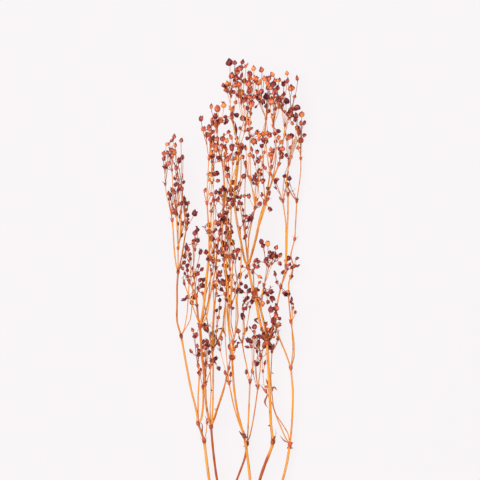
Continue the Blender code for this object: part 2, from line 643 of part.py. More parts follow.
def bridge(bm, lower, upper):
    """Triangles between two rings, which may differ in their number of vertices."""
    upper = aligned(lower, upper)
    i = j = 0
    while i < len(lower) or j < len(upper):
        a, b = lower[i % len(lower)], upper[j % len(upper)]
        if j == len(upper) or (i < len(lower) and (i + 0.5) / len(lower) <= (j + 0.5) / len(upper)):
            bm.faces.new((a, lower[(i + 1) % len(lower)], b))
            i += 1
        else:
            bm.faces.new((a, upper[(j + 1) % len(upper)], b))
            j += 1


def fan(bm, rim, apex, outwards):
    """Triangles from a ring to one point; outwards turns them to face along the ring's axis."""
    for a, b in zip(rim, rim[1:] + rim[:1]):
        bm.faces.new((a, b, apex) if outwards else (b, a, apex))


def flat_cap(bm, rim, outwards):
    bm.faces.new(rim if outwards else rim[::-1])


def new_object(name, bm, material):
    """An object from a mesh in millimetres, placed round the origin in metres."""
    bmesh.ops.triangulate(bm, faces=[face for face in bm.faces if len(face.verts) > 4])
    for vertex in bm.verts:
        x, y, z = vertex.co
        vertex.co = Vector((x - FOOTPRINT_CENTRE[0], y - FOOTPRINT_CENTRE[1], z)) * MM
    mesh = bpy.data.meshes.new(name)
    bm.to_mesh(mesh)
    bm.free()
    mesh.materials.append(material)
    return bpy.data.objects.new(name, mesh)


def limb_mesh(points, width, joint_end=True):
    """A stalk with a flat root and a swollen joint at its far end."""
    bm = bmesh.new()
    sides = next(sides for least, sides in SIDES_FROM_WIDTH if width >= least)
    radius = width / 2
    rings = []
    for index, point in enumerate(points):
        before = points[max(index - 1, 0)]
        after = points[min(index + 1, len(points) - 1)]
        direction = (after - before).normalized()
        last = index == len(points) - 1
        if last and joint_end:
            neck = point - direction * JOINT_LENGTH
            rings.append(ring(bm, neck, direction, UP, radius, sides))
        swelling = JOINT_SWELLING if last and joint_end else 1.0
        rings.append(ring(bm, point, direction, UP, radius * swelling, sides))
    for lower, upper in zip(rings, rings[1:]):
        bridge(bm, lower, upper)
    flat_cap(bm, rings[0], outwards=False)
    if joint_end:
        end_direction = (points[-1] - points[-2]).normalized()
        tip = bm.verts.new(points[-1] + end_direction * radius * JOINT_SWELLING)
        fan(bm, rings[-1], tip, outwards=True)
    else:
        flat_cap(bm, rings[-1], outwards=True)
    return bm


def grow_head(bm, rim, head):
    """A seed head, narrow at its stalk and widest in the middle, at the end of a stalk from a rim."""
    reference = rim[0].co - head.root
    neck = ring(bm, head.base, head.axis, reference, PEDICEL_WIDTH / 2 * NECK_SWELLING, PEDICEL_SIDES)
    belly_centre = head.base + head.axis * head.length / 2
    belly = ring(bm, belly_centre, head.axis, UP, head.radius, HEAD_SIDES)
    tip = bm.verts.new(head.base + head.axis * head.length)
    bridge(bm, rim, neck)
    bridge(bm, neck, belly)
    fan(bm, belly, tip, outwards=True)


def fork_ring(bm, fork):
    """The four corners of a forked twig's end: left, front, right and back as its pair spreads."""
    first, second = [branch.end - fork.end for branch in fork.pair]
    direction = first.normalized() + second.normalized() + (fork.end - fork.root).normalized()
    return ring(bm, fork.end, direction.normalized(), first - second, fork.stalk_radius, 4)


def grow_pair(bm, corners, pair):
    """Two branches from the two halves of a four-cornered end."""
    left, front, right, back = corners
    for rim, branch in zip(((left, front, back), (right, back, front)), pair):
        if isinstance(branch, Head):
            grow_head(bm, list(rim), branch)
        else:
            end = fork_ring(bm, branch)
            bridge(bm, list(rim), end)
            grow_pair(bm, end, branch.pair)


def cluster_mesh(cluster):
    """A joint's forked twigs with their heads, or one head with its stalk, with a root to sink in."""
    bm = bmesh.new()
    if isinstance(cluster, Head):
        stalk = (cluster.base - cluster.root).normalized()
        root = ring(bm, cluster.root - stalk * ROOT_DEPTH, stalk, UP, PEDICEL_WIDTH / 2, PEDICEL_SIDES)
        flat_cap(bm, root, outwards=False)
        grow_head(bm, root, cluster)
        return bm
    left, front, right, back = fork_ring(bm, cluster)
    bm.faces.new((right, front, left))
    bm.faces.new((left, back, right))
    grow_pair(bm, (left, front, right, back), cluster.pair)
    return bm


def count_crossings(cluster):
    """How many pairs of a cluster's faces cross without sharing a corner."""
    bm = cluster_mesh(cluster)
    bmesh.ops.triangulate(bm, faces=bm.faces)
    bm.faces.ensure_lookup_table()
    tree = BVHTree.FromBMesh(bm)
    corners = [set(face.verts) for face in bm.faces]
    crossings = sum(not corners[a] & corners[b] for a, b in tree.overlap(tree))
    bm.free()
    return crossings


def bract_mesh(joint, direction, tip):
    """One dry bract: a thin four-sided spike, flat against its stalk."""
    bm = bmesh.new()
    along = (tip - joint).normalized()
    across = along.cross(direction).normalized()
    thin = along.cross(across)
    offsets = [across * BRACT_WIDTH, thin * BRACT_THICKNESS, -across * BRACT_WIDTH, -thin * BRACT_THICKNESS]
    rim = [bm.verts.new(joint + offset / 2) for offset in offsets]
    flat_cap(bm, rim, outwards=False)
    fan(bm, rim, bm.verts.new(tip), outwards=True)
    return bm


def fuse(name, meshes, material):
    """Joins meshes into one named solid, by one Boolean union on a collection."""
    whole = new_object(name, meshes[0], material)
    bpy.context.scene.collection.objects.link(whole)
    pieces = bpy.data.collections.new(name + "_pieces")
    for index, bm in enumerate(meshes[1:]):
        pieces.objects.link(new_object(f"{name}_{index}", bm, material))
    union = whole.modifiers.new("union", 'BOOLEAN')
    union.operation = 'UNION'
    union.operand_type = 'COLLECTION'
    union.collection = pieces
    union.solver = 'MANIFOLD'
    apply_modifiers(whole)
    for piece in list(pieces.objects):
        bpy.data.objects.remove(piece)
    bpy.data.collections.remove(pieces)
    return whole


def apply_modifiers(target):
    depsgraph = bpy.context.evaluated_depsgraph_get()
    target.data = bpy.data.meshes.new_from_object(target.evaluated_get(depsgraph))
    target.modifiers.clear()


def simplify(target):
    """Merges the slivers that a union leaves where twigs meet their stalk."""
    fewer = target.modifiers.new("fewer", 'DECIMATE')
    fewer.ratio = KEPT_SHARE
    fewer.use_collapse_triangulate = True
    apply_modifiers(target)


def press_flat(target):
    """Cuts away what would lie below the surface, which leaves the small flat resting spots."""
    bm = bmesh.new()
    bm.from_mesh(target.data)
    everything = bm.verts[:] + bm.edges[:] + bm.faces[:]
    cut = bmesh.ops.bisect_plane(bm, geom=everything, plane_co=(0, 0, 0), plane_no=(0, 0, -1),
                                 clear_outer=True)
    edges = [item for item in cut["geom_cut"] if isinstance(item, bmesh.types.BMEdge)]
    bmesh.ops.holes_fill(bm, edges=edges)
    bmesh.ops.recalc_face_normals(bm, faces=bm.faces)
    bm.to_mesh(target.data)
    bm.free()


def make_material(name, colour, roughness):
    material = bpy.data.materials.new(name)
    material.use_nodes = True
    shader = material.node_tree.nodes["Principled BSDF"]
    shader.inputs["Base Color"].default_value = colour
    shader.inputs["Roughness"].default_value = roughness
    return material


def grow_main_stem():
    """The main stem's limbs, and its joints as points with directions."""
    joints, limbs = {}, []
    for name, parent, width, height, plan in MAIN_STEM:
        if parent is None:
            start = Vector((*plan[0], FOOT_HEIGHT))
            points = raised(plan[1:], start, height)
        else:
            points = raised(plan, joints[parent][0], height)
        joints[name] = (points[-1], (points[-1] - points[-2]).normalized())
        limbs.append((points, width))
    return limbs, joints


def grow_spray(seed, routes, heads, joints, taken):
    spray = Spray(seed, joints, taken)
    for route in routes:
        spray.add_route(*route)
    for name, plan in heads.items():
        spray.add_heads(name, plan)
    first_points, first_width = spray.limbs[0]
    total = polyline_lengths(first_points)[-1]
    stub = trim(first_points, 0.0, STUB_LENGTH)
    spray.limbs[0] = (trim(first_points, STUB_LENGTH + SEAM, total), first_width)
    return spray, (stub, first_width)


def build():
    for existing in list(bpy.data.objects):
        bpy.data.objects.remove(existing)
    amber = make_material("dry_stalk", AMBER, STALK_ROUGHNESS)
    brown = make_material("dry_heads", SEED_BROWN, HEAD_ROUGHNESS)

    stem_limbs, stem_joints = grow_main_stem()
    taken = Taken()
    for points, width in stem_limbs:
        taken.add(limb_capsules(points, width / 2 * JOINT_SWELLING))

    tables = {
        "spray_b": (2, SPRAY_B, SPRAY_B_HEADS),
        "spray_e": (23, SPRAY_E, SPRAY_E_HEADS),
        "spray_d": (4, SPRAY_D, SPRAY_D_HEADS),
        "spray_a": (1, SPRAY_A, SPRAY_A_HEADS),
        "spray_c": (3, SPRAY_C, SPRAY_C_HEADS),
        "spray_f": (6, SPRAY_F, SPRAY_F_HEADS),
    }
    stubs = []
    for name, (seed, routes, heads) in tables.items():
        spray, stub = grow_spray(seed, routes, heads, stem_joints, taken)
        taken.add(spray.capsules())
        stubs.append(stub)
        meshes = [limb_mesh(points, width) for points, width in spray.limbs]
        meshes += [cluster_mesh(cluster) for cluster in spray.clusters]
        for joint, direction, turn in spray.bracts:
            meshes += [bract_mesh(joint, direction, tip) for tip in bract_tips(joint, direction, turn)]
        whole = fuse(name, meshes, brown)
        simplify(whole)
        press_flat(whole)

    meshes = [limb_mesh(points, width) for points, width in stem_limbs]
    meshes += [limb_mesh(points, width, joint_end=False) for points, width in stubs]
    press_flat(fuse("main_stem", meshes, amber))


build()
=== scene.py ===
# %% [markdown]
# # A dried gypsophila stem
# Gypsophila is the small white filler flower of bouquets. On this cut stem it has dried: the stalks
# are amber, the joints have turned dark red, and each flower has shrunk to a small brown seed head.
# A ready coarse model of the stem, the frame, has the real sizes. This script dresses it with finer
# pieces, one cell at a time. A text cell says what comes and why, and the next cell makes it.

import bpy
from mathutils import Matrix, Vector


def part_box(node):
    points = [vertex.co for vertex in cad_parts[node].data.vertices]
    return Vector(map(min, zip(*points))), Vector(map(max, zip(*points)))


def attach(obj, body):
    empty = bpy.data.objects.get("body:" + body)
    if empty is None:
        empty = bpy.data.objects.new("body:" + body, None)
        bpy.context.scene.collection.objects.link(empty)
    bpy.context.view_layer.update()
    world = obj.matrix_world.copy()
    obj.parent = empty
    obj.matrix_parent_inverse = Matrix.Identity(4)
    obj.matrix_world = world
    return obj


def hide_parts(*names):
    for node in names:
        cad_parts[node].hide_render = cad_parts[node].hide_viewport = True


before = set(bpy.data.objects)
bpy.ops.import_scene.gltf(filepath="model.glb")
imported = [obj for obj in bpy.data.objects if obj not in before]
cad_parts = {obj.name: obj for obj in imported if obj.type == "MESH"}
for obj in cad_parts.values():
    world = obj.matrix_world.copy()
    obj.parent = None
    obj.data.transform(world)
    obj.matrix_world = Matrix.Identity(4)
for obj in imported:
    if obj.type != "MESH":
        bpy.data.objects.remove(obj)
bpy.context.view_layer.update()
print("coarse nodes:", ", ".join(sorted(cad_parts)))

# %% [markdown]
# ## Millimetres on a plan
# The stem lies on a table, so it is easiest to think of it as a drawing on that table: x to the
# right, y along the stem and z up from the surface, all in millimetres. One helper turns such a
# point into Blender's metres. The line y = 0 crosses the six main stalks.

# %% Units
import math
import random
from collections import namedtuple

import bmesh
import bpy
import numpy as np
from mathutils import Vector
from mathutils.bvhtree import BVHTree

MM = 0.001
UP = Vector((0.0, 0.0, 1.0))
TIPWARDS = Vector((0.0, 1.0, 0.0))
PLAN_CENTRE = Vector((233.1, 148.1, 0.0))


def in_metres(points):
    """Plan points in millimetres, as an array of places in the scene."""
    return (np.asarray(points, dtype=float) - np.array(PLAN_CENTRE)) * MM


scene = bpy.context.scene
scene.view_settings.view_transform = 'Standard'

# %% [markdown]
# ## The camera
# The camera hangs far above the middle of the picture and looks straight down. A long lens from far
# away shows tall and low twigs at nearly one scale, as the photograph does. A camera with no
# rotation already looks along -Z with +Y up in the picture, so it only needs a place.

# %% Camera
PICTURE_CENTRE = (240.0, 240.0, 40.0)
PICTURE_WIDTH = 480.0
CAMERA_HEIGHT = 8000.0

camera = bpy.data.objects.new("camera", bpy.data.cameras.new("camera"))
scene.collection.objects.link(camera)
camera.location = Vector(in_metres(PICTURE_CENTRE)) + UP * CAMERA_HEIGHT * MM
camera.data.lens = camera.data.sensor_width * CAMERA_HEIGHT / PICTURE_WIDTH
camera.data.clip_end = 4 * CAMERA_HEIGHT * MM
scene.camera = camera
print("lens, mm:", round(camera.data.lens))

# %% [markdown]
# ## Light and floor
# The stem was lit softly from above on a nearly white ground that glows like a light table, so it
# casts no shadows. One large area light overhead makes the upper sides bright and leaves the flanks
# darker, so that the round stalks look round. A dim even world fills in the rest. The floor is far
# larger than the picture, so that a low view shows no edge of it.

# %% Light and floor
WORLD_COLOUR = (0.95, 0.94, 0.96, 1.0)
WORLD_STRENGTH = 0.42
LAMP_PLACE = (-0.7, 0.6, 3.0)
LAMP_SIZE = 2.0
LAMP_WATTS = 150.0
FLOOR_SIZE = 40.0
FLOOR_COLOUR = (0.05, 0.05, 0.05, 1.0)
FLOOR_ROUGHNESS = 0.9
FLOOR_GLOW = (0.868, 0.836, 0.846, 1.0)

scene.world = bpy.data.worlds.new("studio")
scene.world.use_nodes = True
background = scene.world.node_tree.nodes["Background"]
background.inputs["Color"].default_value = WORLD_COLOUR
background.inputs["Strength"].default_value = WORLD_STRENGTH

lamp = bpy.data.objects.new("softbox", bpy.data.lights.new("softbox", 'AREA'))
scene.collection.objects.link(lamp)
lamp.data.energy = LAMP_WATTS
lamp.data.size = LAMP_SIZE
lamp.location = LAMP_PLACE
lamp.rotation_euler = (-Vector(LAMP_PLACE)).to_track_quat('-Z', 'Y').to_euler()
lamp.visible_camera = False

bpy.ops.mesh.primitive_plane_add(size=FLOOR_SIZE)
floor = bpy.context.object
floor.name = "floor"
floor_material = bpy.data.materials.new("pale_floor")
floor_material.use_nodes = True
floor_shader = floor_material.node_tree.nodes["Principled BSDF"]
for socket, value in {"Base Color": FLOOR_COLOUR, "Roughness": FLOOR_ROUGHNESS, "Specular IOR Level": 0.0,
                      "Emission Color": FLOOR_GLOW, "Emission Strength": 1.0}.items():
    floor_shader.inputs[socket].default_value = value
floor.data.materials.append(floor_material)
print("floor, m:", FLOOR_SIZE)

# %% [markdown]
# ## The main stem's plan
# A gypsophila stem parts at its joints, mostly two and two. Each route below is one stalk between
# two joints: its name, the joint that it grows from, its width, the height of its far end above the
# table, and the points it passes in plan. The tables are kept as plain text, which is short to
# read, and a small helper splits them. The main stem's foot lies below the picture.

# %% Main stem routes
def read(word):
    """A name stays as it is, 3.8 becomes a number, and 236,-125 a tuple of numbers."""
    if word[0].isalpha():
        return word
    parts = tuple(float(part) for part in word.split(","))
    return parts if len(parts) > 1 else parts[0]


def table(text):
    """The rows of a table. A line that starts with spaces goes on with the row above it."""
    return [[read(word) for word in row.split()] for row in text.strip().replace("\n ", " ").splitlines()]


def named(text):
    """A value for every name or place of a table whose rows start with the value."""
    return {name: value for value, *names in table(text) for name in names}


def tell(letter, routes, heads):
    print("spray", letter, "has", len(routes), "stalks and", sum(len(row) - 1 for row in heads), "heads")


MAIN_STEM = table("""
m1 cut 3.8 6 236,-125 235,-112 238,-95
m2 m1 3.4 12 241,-78 240,-60
left m2 3 17 233,-47 227,-32
right m2 3.2 17 247,-47 253,-32
""")
FOOT_HEIGHT = 1.95
print("main stem:", len(MAIN_STEM), "stalks")

# %% [markdown]
# ## The left spray's plan
# It leans out furthest. Each line of heads names the joint they grow from, and gives their places
# in plan, with a width where one isn't common.

# %% Spray A routes and heads
SPRAY_A = table("""
a00 m1 2.1 14 228,-72 216,-32 209,0 204,39
a01 a00 0.9 19 206,47 207,57
a02 a00 2 17 198,56
a10 a02 2.2 24 196,70 191,90 186,116 181,144
a11 a10 1.8 28 177,158 177,179 177,194 178,208
a12 a11 1.4 22 176,215 174,232 173,249 172,260
a13 a12 1.2 15 169,274 166,287 165,296
a14 a11 1.2 36 178,220 178,232
a15 a14 1 40 177,249 176,268
a16 a11 1.4 20 182,225 184,238 186,251
a17 a16 1.2 26 185,262 183,275 182,291
a20 a10 1.3 16 184,151 187,167 188,182 189,198
a30 a02 1.4 9 198,84 199,105 198,114
a40 a02 1.2 27 201,60 203,73 203,93
""")
SPRAY_A_HEADS = table("""
a01 207,61,3.2
a13 166,337 170,341,3 174,344 163,327 163,322,5 167,328 168,317 165,313
a17 181,340 171,330 175,328,5 170,324 178,320,5.5 183,323 176,313 184,297 175,335,3
a15 175,296 173,290 176,288 179,291 180,277 181,294
a12 169,287 169,282 172,270
a14 181,245,3 176,269 182,257
a16 187,265 194,268,5.5 184,280 186,257 190,258,3
a11 186,234 186,224 183,218
a20 191,222 186,215 187,210 193,212,3
a30 191,129,3 198,125 197,134,3.6 195,144 193,150,3.6 199,129,3.4
a40 200,107 204,116 203,125
""")
tell("a", SPRAY_A, SPRAY_A_HEADS)

# %% [markdown]
# ## The left middle spray's plan
# Its first joint lies low. One thick stalk and two thinner ones part there.

# %% Spray B routes and heads
SPRAY_B = table("""
b00 left 2.2 26 222,-16 217,0 213,30 211,53
b10 b00 2.4 34 209,60 206,76 205,96
b20 b10 2.8 42 204,108 202,124 201,140 200,154
b30 b20 2.4 48 202,162 205,185 207,206 209,222
b31 b30 1.4 54 209,242 208,263 207,277
b32 b31 1.2 56 207,288 208,306 209,321
b33 b31 1 48 210,283 212,297
b34 b30 1 54 212,228 215,235
b40 b20 2 38 198,163 197,174 196,184
b41 b40 1.4 44 192,193 189,199
b42 b41 1 48 191,209 189,219
b43 b40 1 30 195,194 193,204
b44 b43 1 32 194,217 195,230
b50 b20 1.4 34 206,162 210,183 213,199 216,212
b51 b50 1.2 36 214,228 213,252 214,279
b52 b51 1.1 34 213,296 213,311
b60 b00 1.6 18 212,60 213,90 213,119
b61 b60 1.2 20 213,124 213,131
b70 b00 1.1 16 215,63 224,90 226,102 231,123
""")
SPRAY_B_HEADS = table("""
b10 208,127,3.4 205,134 207,139,3.6
b20 206,150 208,154 205,156,3.6 196,145
b32 207,346,5.5 212,357,3 201,361 205,351,3 213,342 211,326
b33 210,301,3 218,299 213,307 208,306,3.4
b31 211,286,3.4 204,290,3
b34 218,241 214,228 219,229 212,240,5.5 211,249 214,258
b30 206,228 208,221 214,219 217,233,3.4
b40 195,183,5.5 192,177 187,184 184,181 202,195,5.5 203,201 199,201 197,207
b41 183,213 188,204 185,207,3.2
b42 188,231 185,228,3.2 191,226
b43 202,211 199,214,3.4 200,228
b44 193,240 198,240 198,251 195,247
b50 217,194 217,204 220,208,3 211,222 217,186,3.4
b51 216,250,3.4 210,255 216,288 211,268,3.4 218,281
b52 215,334 213,325 216,307 211,339
b60 215,121 219,111 209,128,3.4
b61 214,140 213,146 223,151,3 220,134,3 216,149,3.4
b70 233,131,3.4 229,134,3
b00 218,72,3
""")
tell("b", SPRAY_B, SPRAY_B_HEADS)

# %% [markdown]
# ## The short middle spray's plan
# It is the smallest of the six, and ends less than halfway up.

# %% Spray C routes and heads
SPRAY_C = table("""
c00 left 1.5 18 232,-14 237,0 245,22 247,36
c10 c00 1.4 24 248,50 249,74 250,98
c11 c10 1.1 14 247,112 244,126 242,138
c12 c10 1 32 252,108 252,133
c20 c00 1.2 12 250,44 254,64 258,92
c21 c20 1 10 260,108 261,122
""")
SPRAY_C_HEADS = table("""
c11 238,149 243,163,5.5 246,150,3
c12 250,139 253,143,3.4 248,133,3
c20 256,116 253,108,3
c21 258,134 255,153 264,133,3.4 257,143,3.4
c10 246,108,3
""")
tell("c", SPRAY_C, SPRAY_C_HEADS)

# %% [markdown]
# ## The middle spray's plan
# Its side stalks all keep close, so its heads make the crowded column in the middle.

# %% Spray D routes and heads
SPRAY_D = table("""
d00 right 2.3 30 250,-18 250,0 246,33 244,44
d10 d00 2 46 242,51 237,71 234,92 232,123
d11 d10 1.8 49 233,138
d12 d11 1.4 56 230,150 229,162 230,174
d13 d12 1.3 62 228,188 226,205 224,220
d14 d13 1.2 66 222,240 223,259 224,274
d15 d14 1.1 68 224,295 223,310 221,323
d16 d15 1 69 219,336 217,350
d17 d12 1.1 52 231,192 230,211
d18 d17 1.1 62 230,235 231,262 231,288
d19 d18 1 64 232,305 233,316
d20 d11 1.3 44 236,150 238,163 237,180 238,191
d21 d20 1 46 236,207 235,215 237,225
d30 d00 1.2 40 240,54 234,73 229,97
d31 d30 0.9 34 224,115 220,130
d32 d30 1.1 42 227,118 225,147 226,185
""")
SPRAY_D_HEADS = table("""
d10 230,133,3 236,134,3.2
d31 219,138 222,142,3
d32 224,197,5.5 228,204,3.4 221,190,3.4 226,214 219,199,3
d12 233,172,3.4 227,180,3.2
d17 225,236 232,237 228,243,5.5 227,248 234,229,3.6 229,224,3.6
d13 226,232 221,228,3.4 220,247 222,238,3.6
d14 224,262,5.5 219,265 226,268 218,281 228,280 221,287 226,258 219,257 230,272 223,293,3.4
d18 230,285 231,298 234,275,3.6 227,304 236,292 226,291
d15 228,311 222,335 216,330 227,339 222,341 217,341 218,322 225,326,3.4
d19 232,332,5.5 232,343,3 236,326,3.4 229,323
d16 215,364 211,373,3 218,371,5.5 224,374 227,359 220,362,3.4 213,356,3.2 209,351,3
d20 231,194,3 234,190 242,196,3.4 240,204
d21 237,230,5.5 240,221,3.4 233,222
d30 225,108,3 231,106,3
""")
tell("d", SPRAY_D, SPRAY_D_HEADS)

# %% [markdown]
# ## The tallest spray's plan
# It has the thickest stalk of the six, and more than a third of all the heads.

# %% Spray E routes and heads
SPRAY_E = table("""
e00 right 3 22 258,-17 260,0 265,15 272,33 273,38
e10 e00 3 30 271,56 270,80 269,104 267,138
e20 e10 2.6 33 263,148 259,162 257,174 254,187
e21 e10 1.4 22 265,150 262,165 261,178 264,195
e22 e21 1.1 28 266,207 267,215
e23 e21 1 14 268,204 272,216
e24 e10 1.2 38 270,145 273,154
e30 e20 2.4 35 252,194 250,204 248,213
e40 e30 2.4 40 251,223 256,242 260,261 265,278
e41 e40 1.9 42 269,290 273,301 279,316
e42 e41 1.6 38 282,331 284,344 285,355
e43 e42 1.1 44 283,362 282,371
e44 e42 1.1 32 288,362 291,370
e45 e40 1.3 50 267,288 269,300 270,306
e46 e45 1.1 54 274,318 276,334 273,354
e47 e45 1.1 44 267,325 265,344 266,361
e48 e47 1 48 262,370 260,378
e50 e30 2.1 30 245,219 241,238 237,258 234,280
e51 e50 1.8 27 235,297 237,318 239,334
e52 e51 1.3 22 236,343 234,352 232,363
e53 e52 1 24 230,373 231,384
e54 e51 1.3 36 242,340 245,349
e55 e54 1.1 42 243,362 241,377
e60 e30 1.4 48 248,228 249,244 252,259 255,272
e61 e60 1.2 54 253,285 251,300 250,322 250,344
e62 e61 1.1 57 250,356 251,366
e63 e60 1.1 46 259,284 258,294
""")
SPRAY_E_HEADS = table("""
e10 262,151,3.4 268,150 271,148,3.4 265,145 274,143,3.2 260,143,3 266,156,3.4
e24 278,156 280,162,3.4 275,165 276,172,5.5 269,171,5.5 273,159
e21 264,187,3.4 267,185 271,188 272,181,5 262,176 268,178,3.4 258,181
e22 267,221 264,235 262,239 268,236 259,219,3.4 270,228,3.4
e23 271,223 276,224 276,233 280,225 281,217
e20 252,177,5.5 247,182 249,189 242,165 246,194 242,190 258,191,3.4 245,172,3.4
e30 253,208 239,205 257,214 255,220 260,203 242,214,3.4 246,203,3
e60 250,260 253,262 246,264,3 246,243 249,284 256,281 259,276,3.4 247,252,3.4
e63 263,299,5.5 254,301 258,309 258,319 261,306,3.4
e40 270,271 268,292,3.4 261,285,3.2
e50 238,284 240,278 240,296 243,304 232,291 244,285,3.4 237,270,3.4
e45 277,300,3.2 272,313,3.4 265,312,3.4
e61 253,340,5.5 257,347 260,344 248,350,3.4 246,341,3.4
e62 252,376,6.5 249,389,5.5 248,396,5 249,383 253,383 250,405 254,411 254,401 247,373,3.4 246,380,3.4
e47 265,339 262,346 268,346 267,383,5.5 272,380 268,397 269,401 270,392 263,340,3.4 270,369,3.4
  266,374,3.6
e48 258,382 260,389 262,379 258,397 262,410 264,401 256,374,3.4
e46 274,387 273,395 278,392 274,406 279,400 278,349 275,345 280,342 276,372,3.4 272,363,3.4
e43 280,375 279,381 284,396 287,379,5.5 287,399,3 284,386,3.4
e44 287,407,3.4 292,392,5.5 290,372 297,373,5.5 298,402,3 294,384,3.2
e51 237,342,3.4 242,331,3.4 234,335,3.2
e52 230,372,3.2 237,365 235,378,3.2
e53 230,418,5.5 235,418 236,411 231,405,5.5 228,397 224,394 227,390 231,388
e54 242,362 248,362,3.4 240,352,3.2
e55 242,418 242,412 246,414 241,405,3 237,402 239,395 244,399 237,385,3.4 243,387,3.6
""")
tell("e", SPRAY_E, SPRAY_E_HEADS)

# %% [markdown]
# ## The right spray's plan
# One of its thin stalks leans left and passes under the tallest spray.

# %% Spray F routes and heads
SPRAY_F = table("""
f00 m1 2.1 12 249,-75 266,-40 283,0 287,16 290,35
f10 f00 2.1 15 292,55 293,88 291,112
f11 f10 1.5 18 286,126 279,143 276,153 277,174 281,193
f12 f11 1.3 20 284,204 286,214
f13 f12 1.2 18 286,240 286,256 283,279
f14 f13 1.1 14 283,290 285,306 289,317
f15 f13 0.9 20 280,286 276,292
f16 f12 0.9 26 287,240 288,270 288,286
f20 f10 1.8 12 294,122 294,138 291,158
f21 f20 1.3 10 289,180 289,197 294,214
f22 f21 1.3 9 291,224 295,241
f23 f22 1.2 9 296,260 297,279
f24 f23 1.1 9 299,293 301,309 301,322
f30 f00 1.2 10 286,41 277,62 272,76 266,88
f31 f30 0.9 8 264,95 263,108
f40 f00 1 14 288,46 280,59 275,67 271,100 272,128
""")
SPRAY_F_HEADS = table("""
f31 262,125,3 265,117,3
f30 269,97,3
f40 271,132 279,141,3.4 274,134,3.2
f11 285,185,5.5 288,187 275,206 276,198,3.4
f12 284,208 288,222 285,220,3.6 290,215,3.2
f13 285,290,3 280,281,3.2 288,307,3
f14 288,343 286,325,3.4 290,333,3.4 293,345
f15 275,298,3.4
f16 288,294,3.6
f20 292,181,3 296,168,3.2
f21 292,203 292,212 298,214,3 296,222,3.4
f23 287,296 289,302 293,290,3.2
f24 301,340,5.5 301,349 301,357 302,366 298,333,3.4 304,345,3.4
""")
tell("f", SPRAY_F, SPRAY_F_HEADS)

# %% [markdown]
# ## Stalks as bent lines
# The fine heads have to sit exactly where the coarse ones are. Copying hundreds of places by hand
# would be dull and fragile. So the rule that grew the coarse model is repeated here with the same
# seeds, and gives the same places again. It starts from stalks as lines with bends.

# %% Bent lines
def polyline_lengths(points):
    """Distances along a polyline to each of its points."""
    lengths = [0.0]
    for before, after in zip(points, points[1:]):
        lengths.append(lengths[-1] + (after - before).length)
    return lengths


def trim(points, start, end):
    """The part of a polyline between two distances along it."""
    lengths = polyline_lengths(points)

    def at(distance):
        for index in range(1, len(points)):
            if distance <= lengths[index] or index == len(points) - 1:
                span = lengths[index] - lengths[index - 1]
                share = (distance - lengths[index - 1]) / span
                return points[index - 1].lerp(points[index], share)

    inner = [point for point, length in zip(points, lengths) if start < length < end]
    return [at(start)] + inner + [at(end)]


def raised(plan, start, end_height):
    """Gives plan points their heights, evenly from a joint to the far end's height."""
    flat = [Vector((start.x, start.y, 0.0))] + [Vector((x, y, 0.0)) for x, y in plan]
    lengths = polyline_lengths(flat)
    points = [start.copy()]
    for point, length in zip(flat[1:], lengths[1:]):
        height = start.z + (end_height - start.z) * length / lengths[-1]
        points.append(Vector((point.x, point.y, height)))
    return points


def end_of(points):
    """Where a line of points ends, and the way it goes there."""
    return points[-1], points[-1] - points[-2]


print("a line that climbs:", raised([(0, 10), (0, 20)], Vector(), 8.0)[1])

# %% [markdown]
# ## How a stem finds room
# The rule has to know what room is taken. Every stalk and head counts as a capsule, a line with a
# radius, and numpy finds the nearest one quickly.

# %% Taken room
class Taken:
    """The space that finished sprays fill, kept as straight capsules."""

    def __init__(self):
        self.starts = np.zeros((0, 3))
        self.ends = np.zeros((0, 3))
        self.radii = np.zeros(0)

    def copy(self):
        twin = Taken()
        twin.starts, twin.ends, twin.radii = self.starts, self.ends, self.radii
        return twin

    def add(self, capsules):
        self.starts = np.vstack([self.starts] + [np.array(start)[None] for start, _, _ in capsules])
        self.ends = np.vstack([self.ends] + [np.array(end)[None] for _, end, _ in capsules])
        self.radii = np.append(self.radii, [radius for _, _, radius in capsules])

    def free_distance(self, capsules):
        """The smallest gap between these capsules and the space that is taken."""
        if not len(self.radii):
            return math.inf
        return min(self.gap_to(*capsule) for capsule in capsules)

    def gap_to(self, start, end, radius):
        start, end = np.array(start), np.array(end)
        along = end - start
        others = self.ends - self.starts
        between = start - self.starts
        along_sq = max(along @ along, 1e-9)
        others_sq = np.maximum((others ** 2).sum(axis=1), 1e-9)
        cross = others @ along
        to_along = between @ along
        to_others = (between * others).sum(axis=1)
        spread = np.maximum(along_sq * others_sq - cross ** 2, 1e-9)
        share = np.clip((cross * to_others - to_along * others_sq) / spread, 0.0, 1.0)
        other_share = np.clip((cross * share + to_others) / others_sq, 0.0, 1.0)
        share = np.clip((other_share * cross - to_along) / along_sq, 0.0, 1.0)
        nearest = between + share[:, None] * along - other_share[:, None] * others
        return float((np.linalg.norm(nearest, axis=1) - self.radii).min() - radius)


def limb_capsules(points, radius):
    return [(a, b, radius) for a, b in zip(points, points[1:])]


free_air = Taken()
free_air.add([(Vector(), TIPWARDS, 0.5)])
print("gap beside one capsule, mm:", free_air.gap_to(Vector((3, 0, 0)), Vector((3, 1, 0)), 0.5))

# %% [markdown]
# ## Heads and forks
# A seed head hangs at the end of its own thin stalk. Where several heads come from one joint, they
# share twigs that fork again and again. So a cluster is a small tree, in which each fork has a pair
# of branches. A head turns a little towards the light, which here is along the stem.

# %% Heads and forks
FREE_FROM = 0.25
TWIG_WIDTH = 1.0
PEDICEL_WIDTH = 0.75
THINNEST_TWIG = 0.85
TWIG_GROWTH = 0.05
SLENDER_WIDTH = 3.0
HEAD_LENGTH_RATIO = 1.25
SLENDER_LENGTH_RATIO = 1.9
HEAD_UPRIGHTNESS = 0.45
HEAD_CORE = (0.3, 0.75)

Bud = namedtuple("Bud", "centre width")


